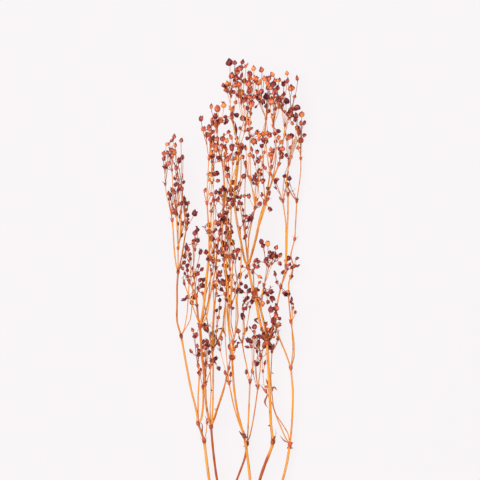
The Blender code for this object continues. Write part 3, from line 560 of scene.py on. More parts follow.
class Head:
    """One seed head on its own thin stalk."""

    pair = ()

    def __init__(self, root, centre, width):
        slender = width <= SLENDER_WIDTH
        self.root = root
        self.radius = width / 2
        self.length = width * (SLENDER_LENGTH_RATIO if slender else HEAD_LENGTH_RATIO)
        stalk = (centre - root).normalized()
        turn = HEAD_UPRIGHTNESS * (1.0 + stalk.dot(TIPWARDS)) / 2
        self.axis = stalk.lerp(TIPWARDS, turn).normalized()
        self.base = centre - self.axis * self.length / 2
        self.end = self.base
        self.stalk_radius = PEDICEL_WIDTH / 2

    def capsules(self):
        low, high = [self.base + self.axis * self.length * share for share in HEAD_CORE]
        stalk = (self.root.lerp(self.base, FREE_FROM), self.base, self.stalk_radius)
        return [stalk, (low, high, self.radius)]


class Fork:
    """A twig that ends in a joint and parts there in two."""

    def __init__(self, root, end, width):
        self.root = root
        self.end = end
        self.stalk_radius = width / 2
        self.pair = ()

    def capsules(self):
        return [(self.root.lerp(self.end, FREE_FROM), self.end, self.stalk_radius)]


sample = Head(Vector(), Vector((2.0, 9.0, 3.0)), 4.3)
print("a head's length, mm:", round(sample.length, 2))

# %% [markdown]
# ## Do a cluster's twigs cross?
# Seeded draws sometimes cross two twigs. The coarse rule then drew the cluster again, so the same
# test is needed here: it builds the cluster with very few faces and counts the pairs that cross. A
# BVHTree, which sorts faces by place, finds them in a moment.

# %% Rings and walls
SMALL_SHARE = 1e-3


def ring(bm, centre, direction, reference, radius, sides):
    """A ring of vertices across a direction."""
    across = reference - direction * reference.dot(direction)
    if across.length < reference.length * SMALL_SHARE:
        across = direction.orthogonal()
    across.normalize()
    other = direction.cross(across)
    turns = [math.tau * index / sides for index in range(sides)]
    return [bm.verts.new(centre + (across * math.cos(t) + other * math.sin(t)) * radius) for t in turns]


def aligned(lower, upper):
    """Starts the upper ring at the vertex that twists the wall between the two the least."""
    def twist(shift):
        return sum((vertex.co - upper[(index * len(upper) // len(lower) + shift) % len(upper)].co).length
                   for index, vertex in enumerate(lower))

    shift = min(range(len(upper)), key=twist)
    return upper[shift:] + upper[:shift]


def bridge(bm, lower, upper):
    """Triangles between two rings, which may differ in their number of vertices."""
    upper = aligned(lower, upper)
    i = j = 0
    while i < len(lower) or j < len(upper):
        a, b = lower[i % len(lower)], upper[j % len(upper)]
        if j == len(upper) or (i < len(lower) and (i + 0.5) / len(lower) <= (j + 0.5) / len(upper)):
            bm.faces.new((a, lower[(i + 1) % len(lower)], b))
            i += 1
        else:
            bm.faces.new((a, upper[(j + 1) % len(upper)], b))
            j += 1


def fan(bm, rim, apex):
    """Triangles from a ring to one point ahead of it."""
    for a, b in zip(rim, rim[1:] + rim[:1]):
        bm.faces.new((a, b, apex))


trial = bmesh.new()
rims = [ring(trial, UP * level, UP, TIPWARDS, 1.0, sides) for level, sides in ((0, 3), (1, 5))]
bridge(trial, *rims)
print("triangles between 3 and 5 corners:", len(trial.faces))
trial.free()

# %% [markdown]
# ## A cluster in few faces
# A head is a narrow ring at its stalk, a wide ring and a tip. A fork ends in four corners, and each
# of its two branches starts from three of them, so the whole cluster is one closed skin.

# %% Crossing test
HEAD_SIDES = 5
NECK_SWELLING = 1.3
PEDICEL_SIDES = 3
ROOT_DEPTH = 0.35
FORK_CORNERS = 4


def grow_head(bm, rim, head):
    """A seed head, narrow at its stalk and widest in the middle, at the end of a stalk from a rim."""
    reference = rim[0].co - head.root
    neck = ring(bm, head.base, head.axis, reference, PEDICEL_WIDTH / 2 * NECK_SWELLING, PEDICEL_SIDES)
    belly_centre = head.base + head.axis * head.length / 2
    belly = ring(bm, belly_centre, head.axis, UP, head.radius, HEAD_SIDES)
    tip = bm.verts.new(head.base + head.axis * head.length)
    bridge(bm, rim, neck)
    bridge(bm, neck, belly)
    fan(bm, belly, tip)


def fork_ring(bm, fork):
    """The four corners of a forked twig's end: left, front, right and back as its pair spreads."""
    first, second = [branch.end - fork.end for branch in fork.pair]
    direction = first.normalized() + second.normalized() + (fork.end - fork.root).normalized()
    return ring(bm, fork.end, direction.normalized(), first - second, fork.stalk_radius, FORK_CORNERS)


def grow_pair(bm, corners, pair):
    """Two branches from the two halves of a four-cornered end."""
    left, front, right, back = corners
    for rim, branch in zip(((left, front, back), (right, back, front)), pair):
        if isinstance(branch, Head):
            grow_head(bm, list(rim), branch)
        else:
            end = fork_ring(bm, branch)
            bridge(bm, list(rim), end)
            grow_pair(bm, end, branch.pair)


def cluster_mesh(cluster):
    """A joint's forked twigs with their heads, or one head with its stalk, with a root to sink in."""
    bm = bmesh.new()
    if isinstance(cluster, Head):
        stalk = (cluster.base - cluster.root).normalized()
        root = ring(bm, cluster.root - stalk * ROOT_DEPTH, stalk, UP, PEDICEL_WIDTH / 2, PEDICEL_SIDES)
        bm.faces.new(root[::-1])
        grow_head(bm, root, cluster)
        return bm
    left, front, right, back = fork_ring(bm, cluster)
    bm.faces.new((right, front, left))
    bm.faces.new((left, back, right))
    grow_pair(bm, (left, front, right, back), cluster.pair)
    return bm


def count_crossings(cluster):
    """How many pairs of a cluster's faces cross without sharing a corner."""
    bm = cluster_mesh(cluster)
    bmesh.ops.triangulate(bm, faces=bm.faces)
    bm.faces.ensure_lookup_table()
    tree = BVHTree.FromBMesh(bm)
    corners = [set(face.verts) for face in bm.faces]
    crossings = sum(not corners[a] & corners[b] for a, b in tree.overlap(tree))
    bm.free()
    return crossings


print("crossings in one head:", count_crossings(sample))

# %% [markdown]
# ## Growing the stalks
# A spray grows outwards from its lowest joint. Each stalk ends at a height where it is clear of the
# others: heights a little above and below the wanted one are tried in turn. A thick stalk gets a
# pair of bracts at its joint, which take up room too.

# %% Grow stalks
CLEARANCE = 0.5
OWN_CLEARANCE = 0.15
HEIGHT_STEP = 1.5
HEIGHT_STEPS = 16
LOWEST_HEAD = 4.5
HIGHEST_HEAD = 82.0
BRACT_STALK = 1.8
BRACT_LENGTH = 4.2
BRACT_WIDTH = 1.7
BRACT_LEAN = 0.8


def around(axis, side, turn):
    """A side direction, turned round its axis."""
    return side * math.cos(turn) + axis.cross(side) * math.sin(turn)


def bract_tips(joint, direction, turn):
    """The tips of a joint's two opposite bracts."""
    side = around(direction, direction.orthogonal().normalized(), turn)
    return [joint + (direction + sign * side * BRACT_LEAN).normalized() * BRACT_LENGTH for sign in (1, -1)]


class Stalks:
    """The stalks of one spray, grown outwards from its lowest joint."""

    def __init__(self, seed, joints, others):
        self.draw = random.Random(seed)
        self.joints = dict(joints)
        self.others = others
        self.own = Taken()
        self.limbs = []
        self.clusters = []
        self.bracts = []

    def free_height(self, shape_at, wanted):
        """Raises or lowers a far end, as little as it takes, until what leads there is clear."""
        best, best_score = wanted, (-math.inf, -math.inf)
        for step in range(HEIGHT_STEPS):
            for sign in (1, -1) if step else (1,):
                height = wanted + sign * step * HEIGHT_STEP
                if not LOWEST_HEAD <= height <= HIGHEST_HEAD:
                    continue
                shape = shape_at(height)
                others = min(self.others.free_distance(shape) - CLEARANCE, 0.0)
                own = min(self.own.free_distance(shape) - OWN_CLEARANCE, 0.0)
                if (others, own) == (0.0, 0.0):
                    return height
                if (others, own) > best_score:
                    best, best_score = height, (others, own)
        return best

    def add_route(self, name, parent, width, height, *plan):
        start, _ = self.joints[parent]

        def stalk_at(end_height):
            return limb_capsules(raised(plan, start, end_height), width / 2)

        points = raised(plan, start, self.free_height(stalk_at, height))
        self.limbs.append((points, width))
        end, way = end_of(points)
        self.joints[name] = (end, way.normalized())
        if width >= BRACT_STALK:
            self.bracts.append((end, way.normalized(), self.draw.uniform(0.0, math.pi)))


print("a pair of bracts ends at:", *bract_tips(Vector(), TIPWARDS, 0.0))

# %% [markdown]
# ## Growing the heads
# Then each joint deals out its heads. Those ahead of it share forks, and those behind stand alone.
# A fork parts its heads in two by their direction, and again, until each has a stalk of its own.

# %% Grow forks
FORK_REACH = 0.46
FORK_STEP = 1.8
NEAREST_HEAD = 4.8
OPENING = math.radians(30)
SMALL_REACH = 0.5
PRESSED_HEIGHT = 1.25


def head_distance(count):
    """How far from a joint its heads stand at least, so that there is room for their forks."""
    return NEAREST_HEAD + FORK_STEP * math.ceil(math.log2(max(count, 1)))


def mean_centre(buds):
    return sum((bud.centre for bud in buds), Vector()) / len(buds)


def moved_up(bud, rise):
    """Raises a bud, but not one that is pressed to the surface."""
    x, y, height = bud.centre
    if height == PRESSED_HEIGHT:
        return bud
    return Bud(Vector((x, y, max(height + rise, LOWEST_HEAD))), bud.width)


class Forks(Stalks):
    """Stalks whose joints can part into twigs and heads."""

    def part(self, fork, buds):
        """Parts the heads of a fork in two, and again, until each has a stalk of its own."""
        joint = fork.end
        by_angle = sorted(buds, key=lambda bud: math.atan2(bud.centre.x - joint.x, bud.centre.y - joint.y))
        middle = len(buds) // 2
        halves = self.open_up(joint, by_angle[:middle], by_angle[middle:])
        fork.pair = [self.new_head(joint, half[0]) if len(half) == 1 else self.new_fork(joint, half)
                     for half in halves]
        return fork

    def open_up(self, joint, first, second):
        """Where two halves are close in plan, raises one and lowers the other, so they part."""
        ways = [(mean_centre(half) - joint).xy for half in (first, second)]
        if min(way.length for way in ways) < SMALL_REACH:
            missing = OPENING
        else:
            missing = max(OPENING - abs(ways[0].angle_signed(ways[1])), 0.0)
        slope = math.tan(missing / 2) * self.draw.choice((1, -1))
        return ([moved_up(bud, slope * (bud.centre - joint).length) for bud in first],
                [moved_up(bud, -slope * (bud.centre - joint).length) for bud in second])

    def new_fork(self, joint, buds):
        """A twig towards several heads, which parts before it reaches the nearest."""
        nearest = min((bud.centre - joint).length for bud in buds)
        way = mean_centre(buds) - joint
        reach = min(FORK_REACH * way.length, nearest - head_distance(len(buds)) + FORK_STEP)
        end = joint + way.normalized() * max(reach, FORK_STEP)
        width = min(TWIG_WIDTH, THINNEST_TWIG + TWIG_GROWTH * len(buds))

        def fork_at(height):
            return Fork(joint, Vector((end.x, end.y, height)), width)

        fork = fork_at(self.free_height(lambda height: fork_at(height).capsules(), end.z))
        self.own.add(fork.capsules())
        return self.part(fork, buds)

    def new_head(self, root, bud):
        def head_at(height):
            return Head(root, Vector((bud.centre.x, bud.centre.y, height)), bud.width)

        height = bud.centre.z
        if height != PRESSED_HEIGHT:
            height = self.free_height(lambda z: head_at(z).capsules(), height)
        head = head_at(height)
        self.own.add(head.capsules())
        return head


print("room before forks, for 1, 4 and 8 heads, mm:", [head_distance(count) for count in (1, 4, 8)])

# %% [markdown]
# ## Dealing out a joint's heads
# Some draws make twigs cross. Then the joint's heads are drawn again, until none do.

# %% Grow heads
JOINT_SWELLING = 1.4
HEIGHT_SPREAD = 0.35
DRAWS = 30
AHEAD = 0.3
HEAD_WIDTH = 4.3
SURFACE_HEADS = [(163, 322), (301, 340), (243, 163)]

Draft = namedtuple("Draft", "clusters crossings space")


class Spray(Forks):
    """One spray: its stalks, and the twigs and heads that its joints deal out."""

    def add_heads(self, name, plan):
        """Draws a joint's heads again until none of their twigs cross, or keeps the best draw."""
        before = self.own
        drafts = []
        while len(drafts) < DRAWS and (not drafts or drafts[-1].crossings):
            self.own = before.copy()
            clusters = self.draw_heads(self.joints[name][0], plan)
            crossings = sum(count_crossings(cluster) for cluster in clusters)
            drafts.append(Draft(clusters, crossings, self.own))
        best = min(drafts, key=lambda draft: draft.crossings)
        self.own = best.space
        self.clusters += best.clusters

    def draw_heads(self, joint, plan):
        """Lets heads part from a joint: those ahead share forks, those behind stand alone."""
        needed = head_distance(len(plan))
        buds = []
        for x, y, *width in plan:
            reach = Vector((x - joint.x, y - joint.y)).length
            rise = self.draw.uniform(-HEIGHT_SPREAD, HEIGHT_SPREAD) * reach
            if reach < needed:
                rise = math.copysign(math.sqrt(needed ** 2 - reach ** 2), rise)
            if joint.z + rise < LOWEST_HEAD:
                rise = abs(rise)
            height = PRESSED_HEIGHT if (x, y) in SURFACE_HEADS else joint.z + rise
            buds.append(Bud(Vector((x, y, height)), *(width or [HEAD_WIDTH])))
        ahead = sum(((bud.centre - joint).normalized() for bud in buds), Vector()).normalized()
        shared, alone = [], []
        for bud in buds:
            is_ahead = (bud.centre - joint).normalized().dot(ahead) > AHEAD
            (shared if is_ahead else alone).append(bud)
        if len(shared) == 1:
            alone.append(shared.pop())
        clusters = [self.part(Fork(joint, joint, THINNEST_TWIG), shared)] if shared else []
        return clusters + [self.new_head(joint, bud) for bud in alone]

    def capsules(self):
        """All the space that the spray fills."""
        found = []
        for points, width in self.limbs:
            found += limb_capsules(points, width / 2 * JOINT_SWELLING)
        for joint, direction, turn in self.bracts:
            found += [(joint, tip, BRACT_WIDTH / 2) for tip in bract_tips(joint, direction, turn)]
        branches = list(self.clusters)
        while branches:
            branch = branches.pop()
            found.append((branch.root, branch.end, branch.stalk_radius))
            found += branch.capsules()
            branches += branch.pair
        return found


print("a joint's heads are drawn again up to", DRAWS, "times")

# %% [markdown]
# ## All six sprays
# The seeds and the order decide every draw, so they are the coarse model's own. The coarse stem
# is cut a few millimetres above each joint of the main stem, and the sprays start there. The finer
# pieces don't need that seam, so each spray also keeps its lowest stalk whole, as its foot.

# %% Grow the stem
STUB_LENGTH = 7.0
SEAM = 0.3
GROWTH_ORDER = {
    "spray_b": (2, SPRAY_B, SPRAY_B_HEADS),
    "spray_e": (23, SPRAY_E, SPRAY_E_HEADS),
    "spray_d": (4, SPRAY_D, SPRAY_D_HEADS),
    "spray_a": (1, SPRAY_A, SPRAY_A_HEADS),
    "spray_c": (3, SPRAY_C, SPRAY_C_HEADS),
    "spray_f": (6, SPRAY_F, SPRAY_F_HEADS),
}


def grow_main_stem():
    """The main stem's limbs, and its joints as points with directions."""
    joints, limbs = {}, []
    for name, parent, width, height, *plan in MAIN_STEM:
        if parent == "cut":
            start = Vector((*plan[0], FOOT_HEIGHT))
            points = raised(plan[1:], start, height)
        else:
            points = raised(plan, joints[parent][0], height)
        end, way = end_of(points)
        joints[name] = (end, way.normalized())
        limbs.append((points, width))
    return limbs, joints


def grow_spray(seed, routes, heads, joints, taken):
    spray = Spray(seed, joints, taken)
    for route in routes:
        spray.add_route(*route)
    for name, *plan in heads:
        spray.add_heads(name, plan)
    spray.foot = spray.limbs[0]
    points, width = spray.foot
    spray.limbs[0] = (trim(points, STUB_LENGTH + SEAM, polyline_lengths(points)[-1]), width)
    taken.add(spray.capsules())
    return spray


stem_limbs, stem_joints = grow_main_stem()
taken = Taken()
for points, width in stem_limbs:
    taken.add(limb_capsules(points, width / 2 * JOINT_SWELLING))
sprays = {name: grow_spray(seed, routes, heads, stem_joints, taken)
          for name, (seed, routes, heads) in GROWTH_ORDER.items()}

for name, spray in sprays.items():
    ends = in_metres([end for start, end, radius in spray.capsules()])
    low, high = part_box(name)
    inside = (ends > np.array(low) - MM) & (ends < np.array(high) + MM)
    print(name, "points inside the coarse node's box:", f"{inside.all(axis=1).mean():.1%}")

# %% [markdown]
# ## Branches of a tree
# The heads hang in small trees of forks. Two helpers walk them: one gives every branch, and one
# gives just the seed heads.

# %% Walk the forks
def branches(clusters):
    """Every fork and head of the clusters, each parent before its pair."""
    waiting, found = list(clusters), []
    while waiting:
        branch = waiting.pop()
        found.append(branch)
        waiting += branch.pair
    return found


def heads_of(clusters):
    return [branch for branch in branches(clusters) if isinstance(branch, Head)]


print("heads:", {name: len(heads_of(spray.clusters)) for name, spray in sprays.items()})

# %% [markdown]
# ## Side stalks that can be traced
# Between the main stalks the photograph shows many thin ones, and the clearest of them are traced
# here: the joint that each leaves, its width, its points in plan, and then its heads, which have a
# width as their third number. The coarse model goes without them. Their height above the table is
# free, so each goes where it is clear of the rest.

# %% Side stalk table
THREADS = table("""
a02 1.5 201,61 203,76 204,90 205,104
a11 0.9 181,222 184,240 187,258
a15 0.9 174,280 173,292 172,310 172,330,3.8 170,325,3.6 173,325,3.2 168,317,4.2 166,314,3
a15 0.9 177,283 178,296 177,305,3.6 179,301,3.2 175,302,3.2 175,313,3
a12 0.8 171,267 172,276 172,291,4 170,285,3.8 175,279,3.4
a14 1.3 180,243 181,260 181,268 182,277,4.4 178,290,4.4 182,291,3.8
a14 0.9 178,245 178,256 175,268,4 177,266,3.6 180,264,3 174,272,3
a16 1 187,262 185,270 184,282,4.4 185,277,4
a10 0.9 190,160 192,175 193,196
b61 1.5 217,137 221,147 223,153 224,165 226,180 227,196
b61 1.2 212,143 213,160 214,178 213,192
b61 0.8 216,145 217,154 218,163,3.8 216,170,3.6 220,172,3.2 220,180,3.8
b10 0.9 207,100 210,108 211,115
b10 0.8 206,108 205,124 203,138,4.2 207,137,3.6 205,132,3.8 209,134,3.2
b00 0.9 210,70 211,89 210,112
b00 1.5 219,77 226,99 229,112
b20 1.2 204,163 208,178 210,196 211,210
b20 0.9 203,170 206,186 212,206
b50 1.5 217,228 219,243 221,256 223,270 224,284
b30 1 211,240 211,258 211,276
b31 0.9 209,290 211,303 212,318
b32 0.8 211,330 214,342 216,353
b52 0.9 216,322 217,335 217,348
c11 1.1 244,143 244,158 243,171
c11 0.8 245,146 248,160 250,173
c10 0.9 253,112 254,130 254,148
c20 0.8 256,103 255,118
c21 0.8 258,124 257,128 258,138,4.2 255,143,3.6 254,153,3.6
c12 0.7 251,133 249,140,4.6 252,138,3.8
c21 0.9 263,130 265,140
d10 1.2 230,138 228,158 228,182 229,200
d10 0.9 234,140 231,158 232,178
d11 0.9 235,148 236,162 236,180 235,197
d20 1.1 240,200 241,218 241,236 240,252
d12 1.1 232,190 232,204 233,218
d13 1.1 225,238 226,256 227,276
d17 1 228,228 227,250 228,268
d17 0.8 230,232 229,243 227,252,3.8 231,254,3.4 225,247,3.4 229,260,3.6
d14 1.1 225,290 224,308 225,324
d14 0.9 227,292 227,308 226,322
d15 1 223,334 224,345
e10 1 262,152 258,168 254,182
e10 2.1 266,148 264,157 261,169 258,181 256,190 259,198,3.4
e10 0.9 269,141 271,144 272,151,4.4 269,150,3.8 277,155,4.6 273,161,4.2 276,167,3.6 274,156,3.6
e30 1 247,230 245,243 244,258 243,270
e30 0.9 246,240 245,268 245,295 246,314
e50 1.3 236,295 238,312 239,326
e50 1 240,297 241,312 241,328
e40 1 264,292 263,305 263,315 264,328,3.4 260,323,3.4 262,334,3.6
e40 1.2 269,290 274,308 276,321 276,332
e46 0.9 275,365 275,376
e46 0.8 277,364 280,374
e46 0.8 276,367 278,376
e46 0.7 271,364 270,376
e47 0.7 268,371 269,384
e47 0.7 263,371 260,382
e42 0.7 286,366 286,377
e42 0.8 289,358 290,362 287,366,4 291,367,4.4 293,365,3.6 292,357,3
e42 0.7 284,366 281,378
e42 0.8 286,364 283,375
e51 0.9 240,346 244,360 244,374
e52 0.8 231,372 229,381 227,389
e52 0.9 234,372 236,384 236,394
e61 0.8 250,348 250,351 250,358,5.4
e60 0.7 254,286 248,304 246,317,3.4 243,323,3.6 249,325,3.8 246,332,3
e63 0.7 258,300 255,316 252,331,3 257,328,3.4 253,324,3
e63 0.7 256,296 251,300,3.4 254,303,3.2 256,300,3.2 252,297,3 249,302,3
e41 0.9 280,322 280,327,3.8 282,331,4 281,323,3.2 279,331,3.2 283,326,3
e45 0.8 271,318 272,326,4 274,329,3.4 271,331,3.4 270,325,3 273,322,3
e54 0.9 247,358 248,370 247,382
e54 0.8 243,360 240,371 238,384
f13 1.3 286,292 287,305 289,316
f13 0.8 279,290 276,298
f23 0.8 291,288 286,297
f10 0.9 293,130 292,150 293,172
f14 1.1 291,328 295,341 297,353 296,361,4.3 298,365,3
f14 0.8 287,330 287,341 287,344,3.4 284,347,3
f24 0.9 299,334 299,346 299,352,4.6 304,358,3
f40 0.8 275,132 278,142
""")
print("traced side stalks:", len(THREADS))

# %% [markdown]
# ## Hanging the side stalks in
# Each one is lifted to the height where the part of it beyond the joint touches nothing. Its heads
# hang at three levels, so that those which overlap in plan don't meet.

# %% Traced side stalks
BURIED = 5.0
HEAD_STOREY = 4.0
LOWEST_THREAD_HEAD = 4.0


def rows_of(rows, name):
    """The rows of a table that belong to a spray, by the first letter of their first word."""
    return [row for row in rows if row[0][0] == name[-1]]


def add_thread(spray, parent, width, *places):
    """A traced side stalk from a joint, at the height where it is freest, with its traced heads."""
    plan = [place for place in places if len(place) == 2]
    heads = [place for place in places if len(place) == 3]
    start, _ = spray.joints[parent]

    def free_part(height):
        points = raised(plan, start, height)
        return limb_capsules(trim(points, BURIED, polyline_lengths(points)[-1]), width / 2)

    points = raised(plan, start, spray.free_height(free_part, start.z))
    spray.others.add(limb_capsules(points, width / 2))
    spray.threads.append((points, width))
    for level, (x, y, size) in enumerate(heads):
        height = max(points[-1].z + (level % 3 - 1) * HEAD_STOREY, LOWEST_THREAD_HEAD)
        spray.small.append(spray.new_head(points[-1], Bud(Vector((x, y, height)), size)))
    spray.bare_ends += [] if heads else [end_of(points)]


for name, spray in sprays.items():
    spray.threads, spray.small, spray.bare_ends = [], [], []
    for row in rows_of(THREADS, name):
        add_thread(spray, *row)
print("traced side stalks:", {name: len(spray.threads) for name, spray in sprays.items()})

# %% [markdown]
# ## More heads
# A real spray has more heads than the coarse model can afford, most of them small and close to a
# fork. For each fork and each joint, the rule below draws a few short stalks and keeps those
# that are clear of everything else. So the new heads fill gaps and never cross a twig.

# %% Small heads beside the forks
SMALL_STALKS = (4.2, 9.0)
TRIES = 12
SMALL_GAP = 0.2
SIDEWAYS = 0.8
TIPWARD_PULL = 0.45
EDGE = 3.0
NEAREST_SPOT = 6.0
OUTLINE_REACH = 14.0
OUTLINE_SLACK = 1.5
LARGE = 5.0
LARGE_AIR = 5.6
OPENS_FROM = 120.0
OPENS_OVER = 220.0
SLIM_WIDTHS = (1.6, 2.6)
OPEN_WIDTHS = (0.8, 1.5)
DOME_FROM = 360.0
DOME_SHARE = 0.15
OPEN_PLACES = ((190, 220, 12), (263, 190, 6), (265, 144, 6), (203, 294, 7), (221, 326, 7), (287, 294, 7))

all_spots = [spot for _, _, heads in GROWTH_ORDER.values() for _, *plan in heads for spot in plan]
spots = np.array([spot[:2] for spot in all_spots], dtype=float)
large_spots = np.array([spot[:2] for spot in all_spots if spot[-1] >= LARGE and len(spot) == 3], dtype=float)


def small_width(draw, root):
    """Lower down the heads stayed small and slim. Near the tip they opened."""
    fullness = min(max((root.y - OPENS_FROM) / OPENS_OVER, 0.0), 1.0)
    return draw.uniform(*SLIM_WIDTHS) + fullness * draw.uniform(*OPEN_WIDTHS)


def in_outline(point):
    """Is a point near the traced heads in plan, in their outline, and clear of gaps and large heads?"""
    away = spots - (point.x, point.y)
    far = np.hypot(away[:, 0], away[:, 1])
    near = away[far < OUTLINE_REACH]
    hides = np.hypot(*(large_spots - (point.x, point.y)).T).min() < LARGE_AIR
    hides = hides or any(math.hypot(point.x - x, point.y - y) < radius for x, y, radius in OPEN_PLACES)
    return (not hides and far.min() < NEAREST_SPOT and near[:, 1].max() > -OUTLINE_SLACK
            and near[:, 0].max() > -OUTLINE_SLACK and near[:, 0].min() < OUTLINE_SLACK)


def fits(head, taken):
    """Is there room for a head, above the table and inside the outline?"""
    low, high = head.base, head.base + head.axis * head.length
    level = EDGE < low.z < HIGHEST_HEAD - EDGE and EDGE < high.z < HIGHEST_HEAD - EDGE
    return level and in_outline(low.lerp(high, 0.5)) and taken.free_distance(head.capsules()) > SMALL_GAP


def small_head(draw, root, way, taken):
    """A small head on a short stalk from a root, or nothing if no draw finds room."""
    for _ in range(TRIES):
        side = Vector(draw.gauss(0.0, 1.0) for _ in range(3)) * SIDEWAYS
        aim = (way + side + TIPWARDS * TIPWARD_PULL).normalized()
        head = Head(root, root + aim * draw.uniform(*SMALL_STALKS), small_width(draw, root))
        if fits(head, taken):
            taken.add(head.capsules())
            return head
    return None


def add_small_heads(spray, draw, share, taken):
    forks = [(branch.end, branch.end - branch.root) for branch in branches(spray.clusters)
             if isinstance(branch, Fork)]
    joints = [end_of(points) for points, width in spray.limbs[1:]]
    grown = [small_head(draw, root, way.normalized(), taken) for root, way in spray.bare_ends * 2]
    grown += [small_head(draw, root, way.normalized(), taken) for root, way in forks + joints
              if draw.random() < share * (DOME_SHARE if root.y > DOME_FROM else 1.0)]
    return [head for head in grown if head]


def by_spray(*values):
    """One value for each spray, from a to f."""
    return dict(zip(sorted(sprays), values))


SMALL_SHARES = by_spray(0.05, 0.3, 0.3, 0.33, 0.3, 0.1)
small_draw = random.Random(3)
for name, spray in sorted(sprays.items()):
    spray.small += add_small_heads(spray, small_draw, SMALL_SHARES[name], taken)
print("small heads:", {name: len(spray.small) for name, spray in sprays.items()})

# %% [markdown]
# ## Twins
# Heads crowd together because flowers open in pairs and threes from one fork. In plan they overlap,
# though one hangs above the other. So many heads get a twin from the same fork, a little higher or
# lower.

# %% Twin heads
TWIN_SHIFT = 2.2
TWIN_RISE = (3.5, 9.0)
TWIN_WIDTHS = (2.8, 4.4)
TWIN_SHARES = by_spray(0.0, 0.25, 0.2, 0.38, 0.25, 0.1)
LOW_TWINS = 0.3
CROWN_FROM = 300.0


def twin(draw, head, taken):
    """A second head from the same fork, above or below the first, or nothing."""
    centre = head.base + head.axis * head.length / 2
    for _ in range(TRIES):
        rise = draw.choice((1, -1)) * draw.uniform(*TWIN_RISE)
        shift = Vector((draw.gauss(0.0, TWIN_SHIFT), draw.gauss(0.0, TWIN_SHIFT), rise))
        other = Head(head.root, centre + shift, draw.uniform(*TWIN_WIDTHS))
        if fits(other, taken):
            taken.add(other.capsules())
            return other
    return None


def twin_share(y):
    """Low down there are fewer twins, and in the dome the heads are large and stand apart."""
    return LOW_TWINS if y < CROWN_FROM else DOME_SHARE if y > DOME_FROM else 1.0


twin_draw = random.Random(17)
for name, spray in sorted(sprays.items()):
    twins = [twin(twin_draw, head, taken) for head in heads_of(spray.clusters)
             if twin_draw.random() < TWIN_SHARES[name] * twin_share(head.end.y)]
    spray.small += [head for head in twins if head]
print("with twins:", {name: len(spray.small) for name, spray in sprays.items()})

# %% [markdown]
# ## Smooth paths
# A stalk bends smoothly through its points. A Hermite curve does that: at each point its direction
# is the mean of the two neighbouring runs. Woody stalks bend mostly at one place and are straight
# between, so the directions are shortened, which stiffens the curve.

# %% Smooth paths
SUPPLENESS = 0.6


def smooth_path(points, step, first_way=None, last_way=None):
    """Points about a step apart on a smooth curve through all the given ones."""
    points = np.array([tuple(point) for point in points])
    runs = np.diff(points, axis=0)
    spans = np.linalg.norm(runs, axis=1)
    slopes = runs / spans[:, None]
    ways = np.vstack((slopes[:1], (slopes[:-1] + slopes[1:]) / 2, slopes[-1:])) * SUPPLENESS
    if first_way is not None:
        ways[0] = first_way
    if last_way is not None:
        ways[-1] = last_way
    path = []
    for index, span in enumerate(spans):
        count = max(round(span / step), 2)
        t = (np.arange(count) / count)[:, None]
        path.append((2 * t ** 3 - 3 * t ** 2 + 1) * points[index]
                    + (t ** 3 - 2 * t ** 2 + t) * span * ways[index]
                    + (3 * t ** 2 - 2 * t ** 3) * points[index + 1]
                    + (t ** 3 - t ** 2) * span * ways[index + 1])
    return np.concatenate(path + [points[-1:]])


def distances(path):
    """How far along the path each of its points lies."""
    return np.concatenate(([0.0], np.cumsum(np.linalg.norm(np.diff(path, axis=0), axis=1))))


bend = smooth_path([(0, 0, 0), (10, 0, 0), (20, 6, 0)], 2.0)
print("a smooth bend's length, mm:", round(distances(bend)[-1], 2))

# %% [markdown]
# ## Thin side stalks
# Between the main stalks run many thin ones, nearly side by side. Each starts at a low joint, runs
# nearly straight up the stem to a bunch of heads, and ends there in a few heads of its own. So a
# head is picked as the goal, then a joint some way below it, and the stalk is kept if it is clear.

# %% Thin side stalks
THIN_RISE = (16.0, 78.0)
THIN_SLOPE = 0.3
THIN_WIDTH = 1.05
THIN_TRIES = 8
THIN_GAP = 0.1
THIN_FROM = 105.0
FAN = 2
BESIDE = 3.5
GOAL_SHORT = (4.0, 9.0)
GOAL_SHIFT = 2.5
THIN_SHARES = by_spray(0.08, 0.3, 0.0, 0.3, 0.25, 0.08)
BESIDE_STEP = 2.0
BESIDE_SHARES = np.linspace(0.1, 0.9, 8)[:, None]

lines = [points for spray in sprays.values() for points, width in spray.limbs + spray.threads]
beside = np.concatenate([spots] + [smooth_path(points, BESIDE_STEP)[:, :2] for points in lines])


def runs_beside(start, end):
    """Does a straight stalk stay close in plan to the traced stalks and heads?"""
    places = np.array(start.xy) + BESIDE_SHARES * np.array((end - start).xy)
    return np.linalg.norm(places[:, None] - beside, axis=2).min(axis=1).max() < BESIDE


def thin_stalk(draw, goal, joints, taken, fans):
    """A thin stalk from one of the joints to just below a head, with two or three heads, or nothing."""
    below = [(joint, way) for joint, way in joints
             if THIN_RISE[0] < goal.y - joint.y < THIN_RISE[1]
             and abs(goal.x - joint.x) < THIN_SLOPE * (goal.y - joint.y)]
    for _ in range(THIN_TRIES if below else 0):
        joint, way = draw.choice(below)
        if fans.get(joint.freeze(), 0) >= FAN:
            continue
        aside, short = draw.gauss(0.0, GOAL_SHIFT), draw.uniform(*GOAL_SHORT)
        shift = Vector((aside, -short, draw.gauss(0.0, 3 * GOAL_SHIFT)))
        fork = Fork(joint, goal + shift, THIN_WIDTH)
        if not EDGE < fork.end.z < HIGHEST_HEAD - 2 * EDGE or not runs_beside(joint, fork.end):
            continue
        if taken.free_distance(fork.capsules()) < THIN_GAP:
            continue
        aim = (fork.end - joint).normalized()
        grown = [small_head(draw, fork.end, aim, taken) for _ in range(2)]
        fork.pair = [head for head in grown if head]
        if fork.pair:
            taken.add(fork.capsules())
            fans[joint.freeze()] = fans.get(joint, 0) + 1
            return fork
    return None


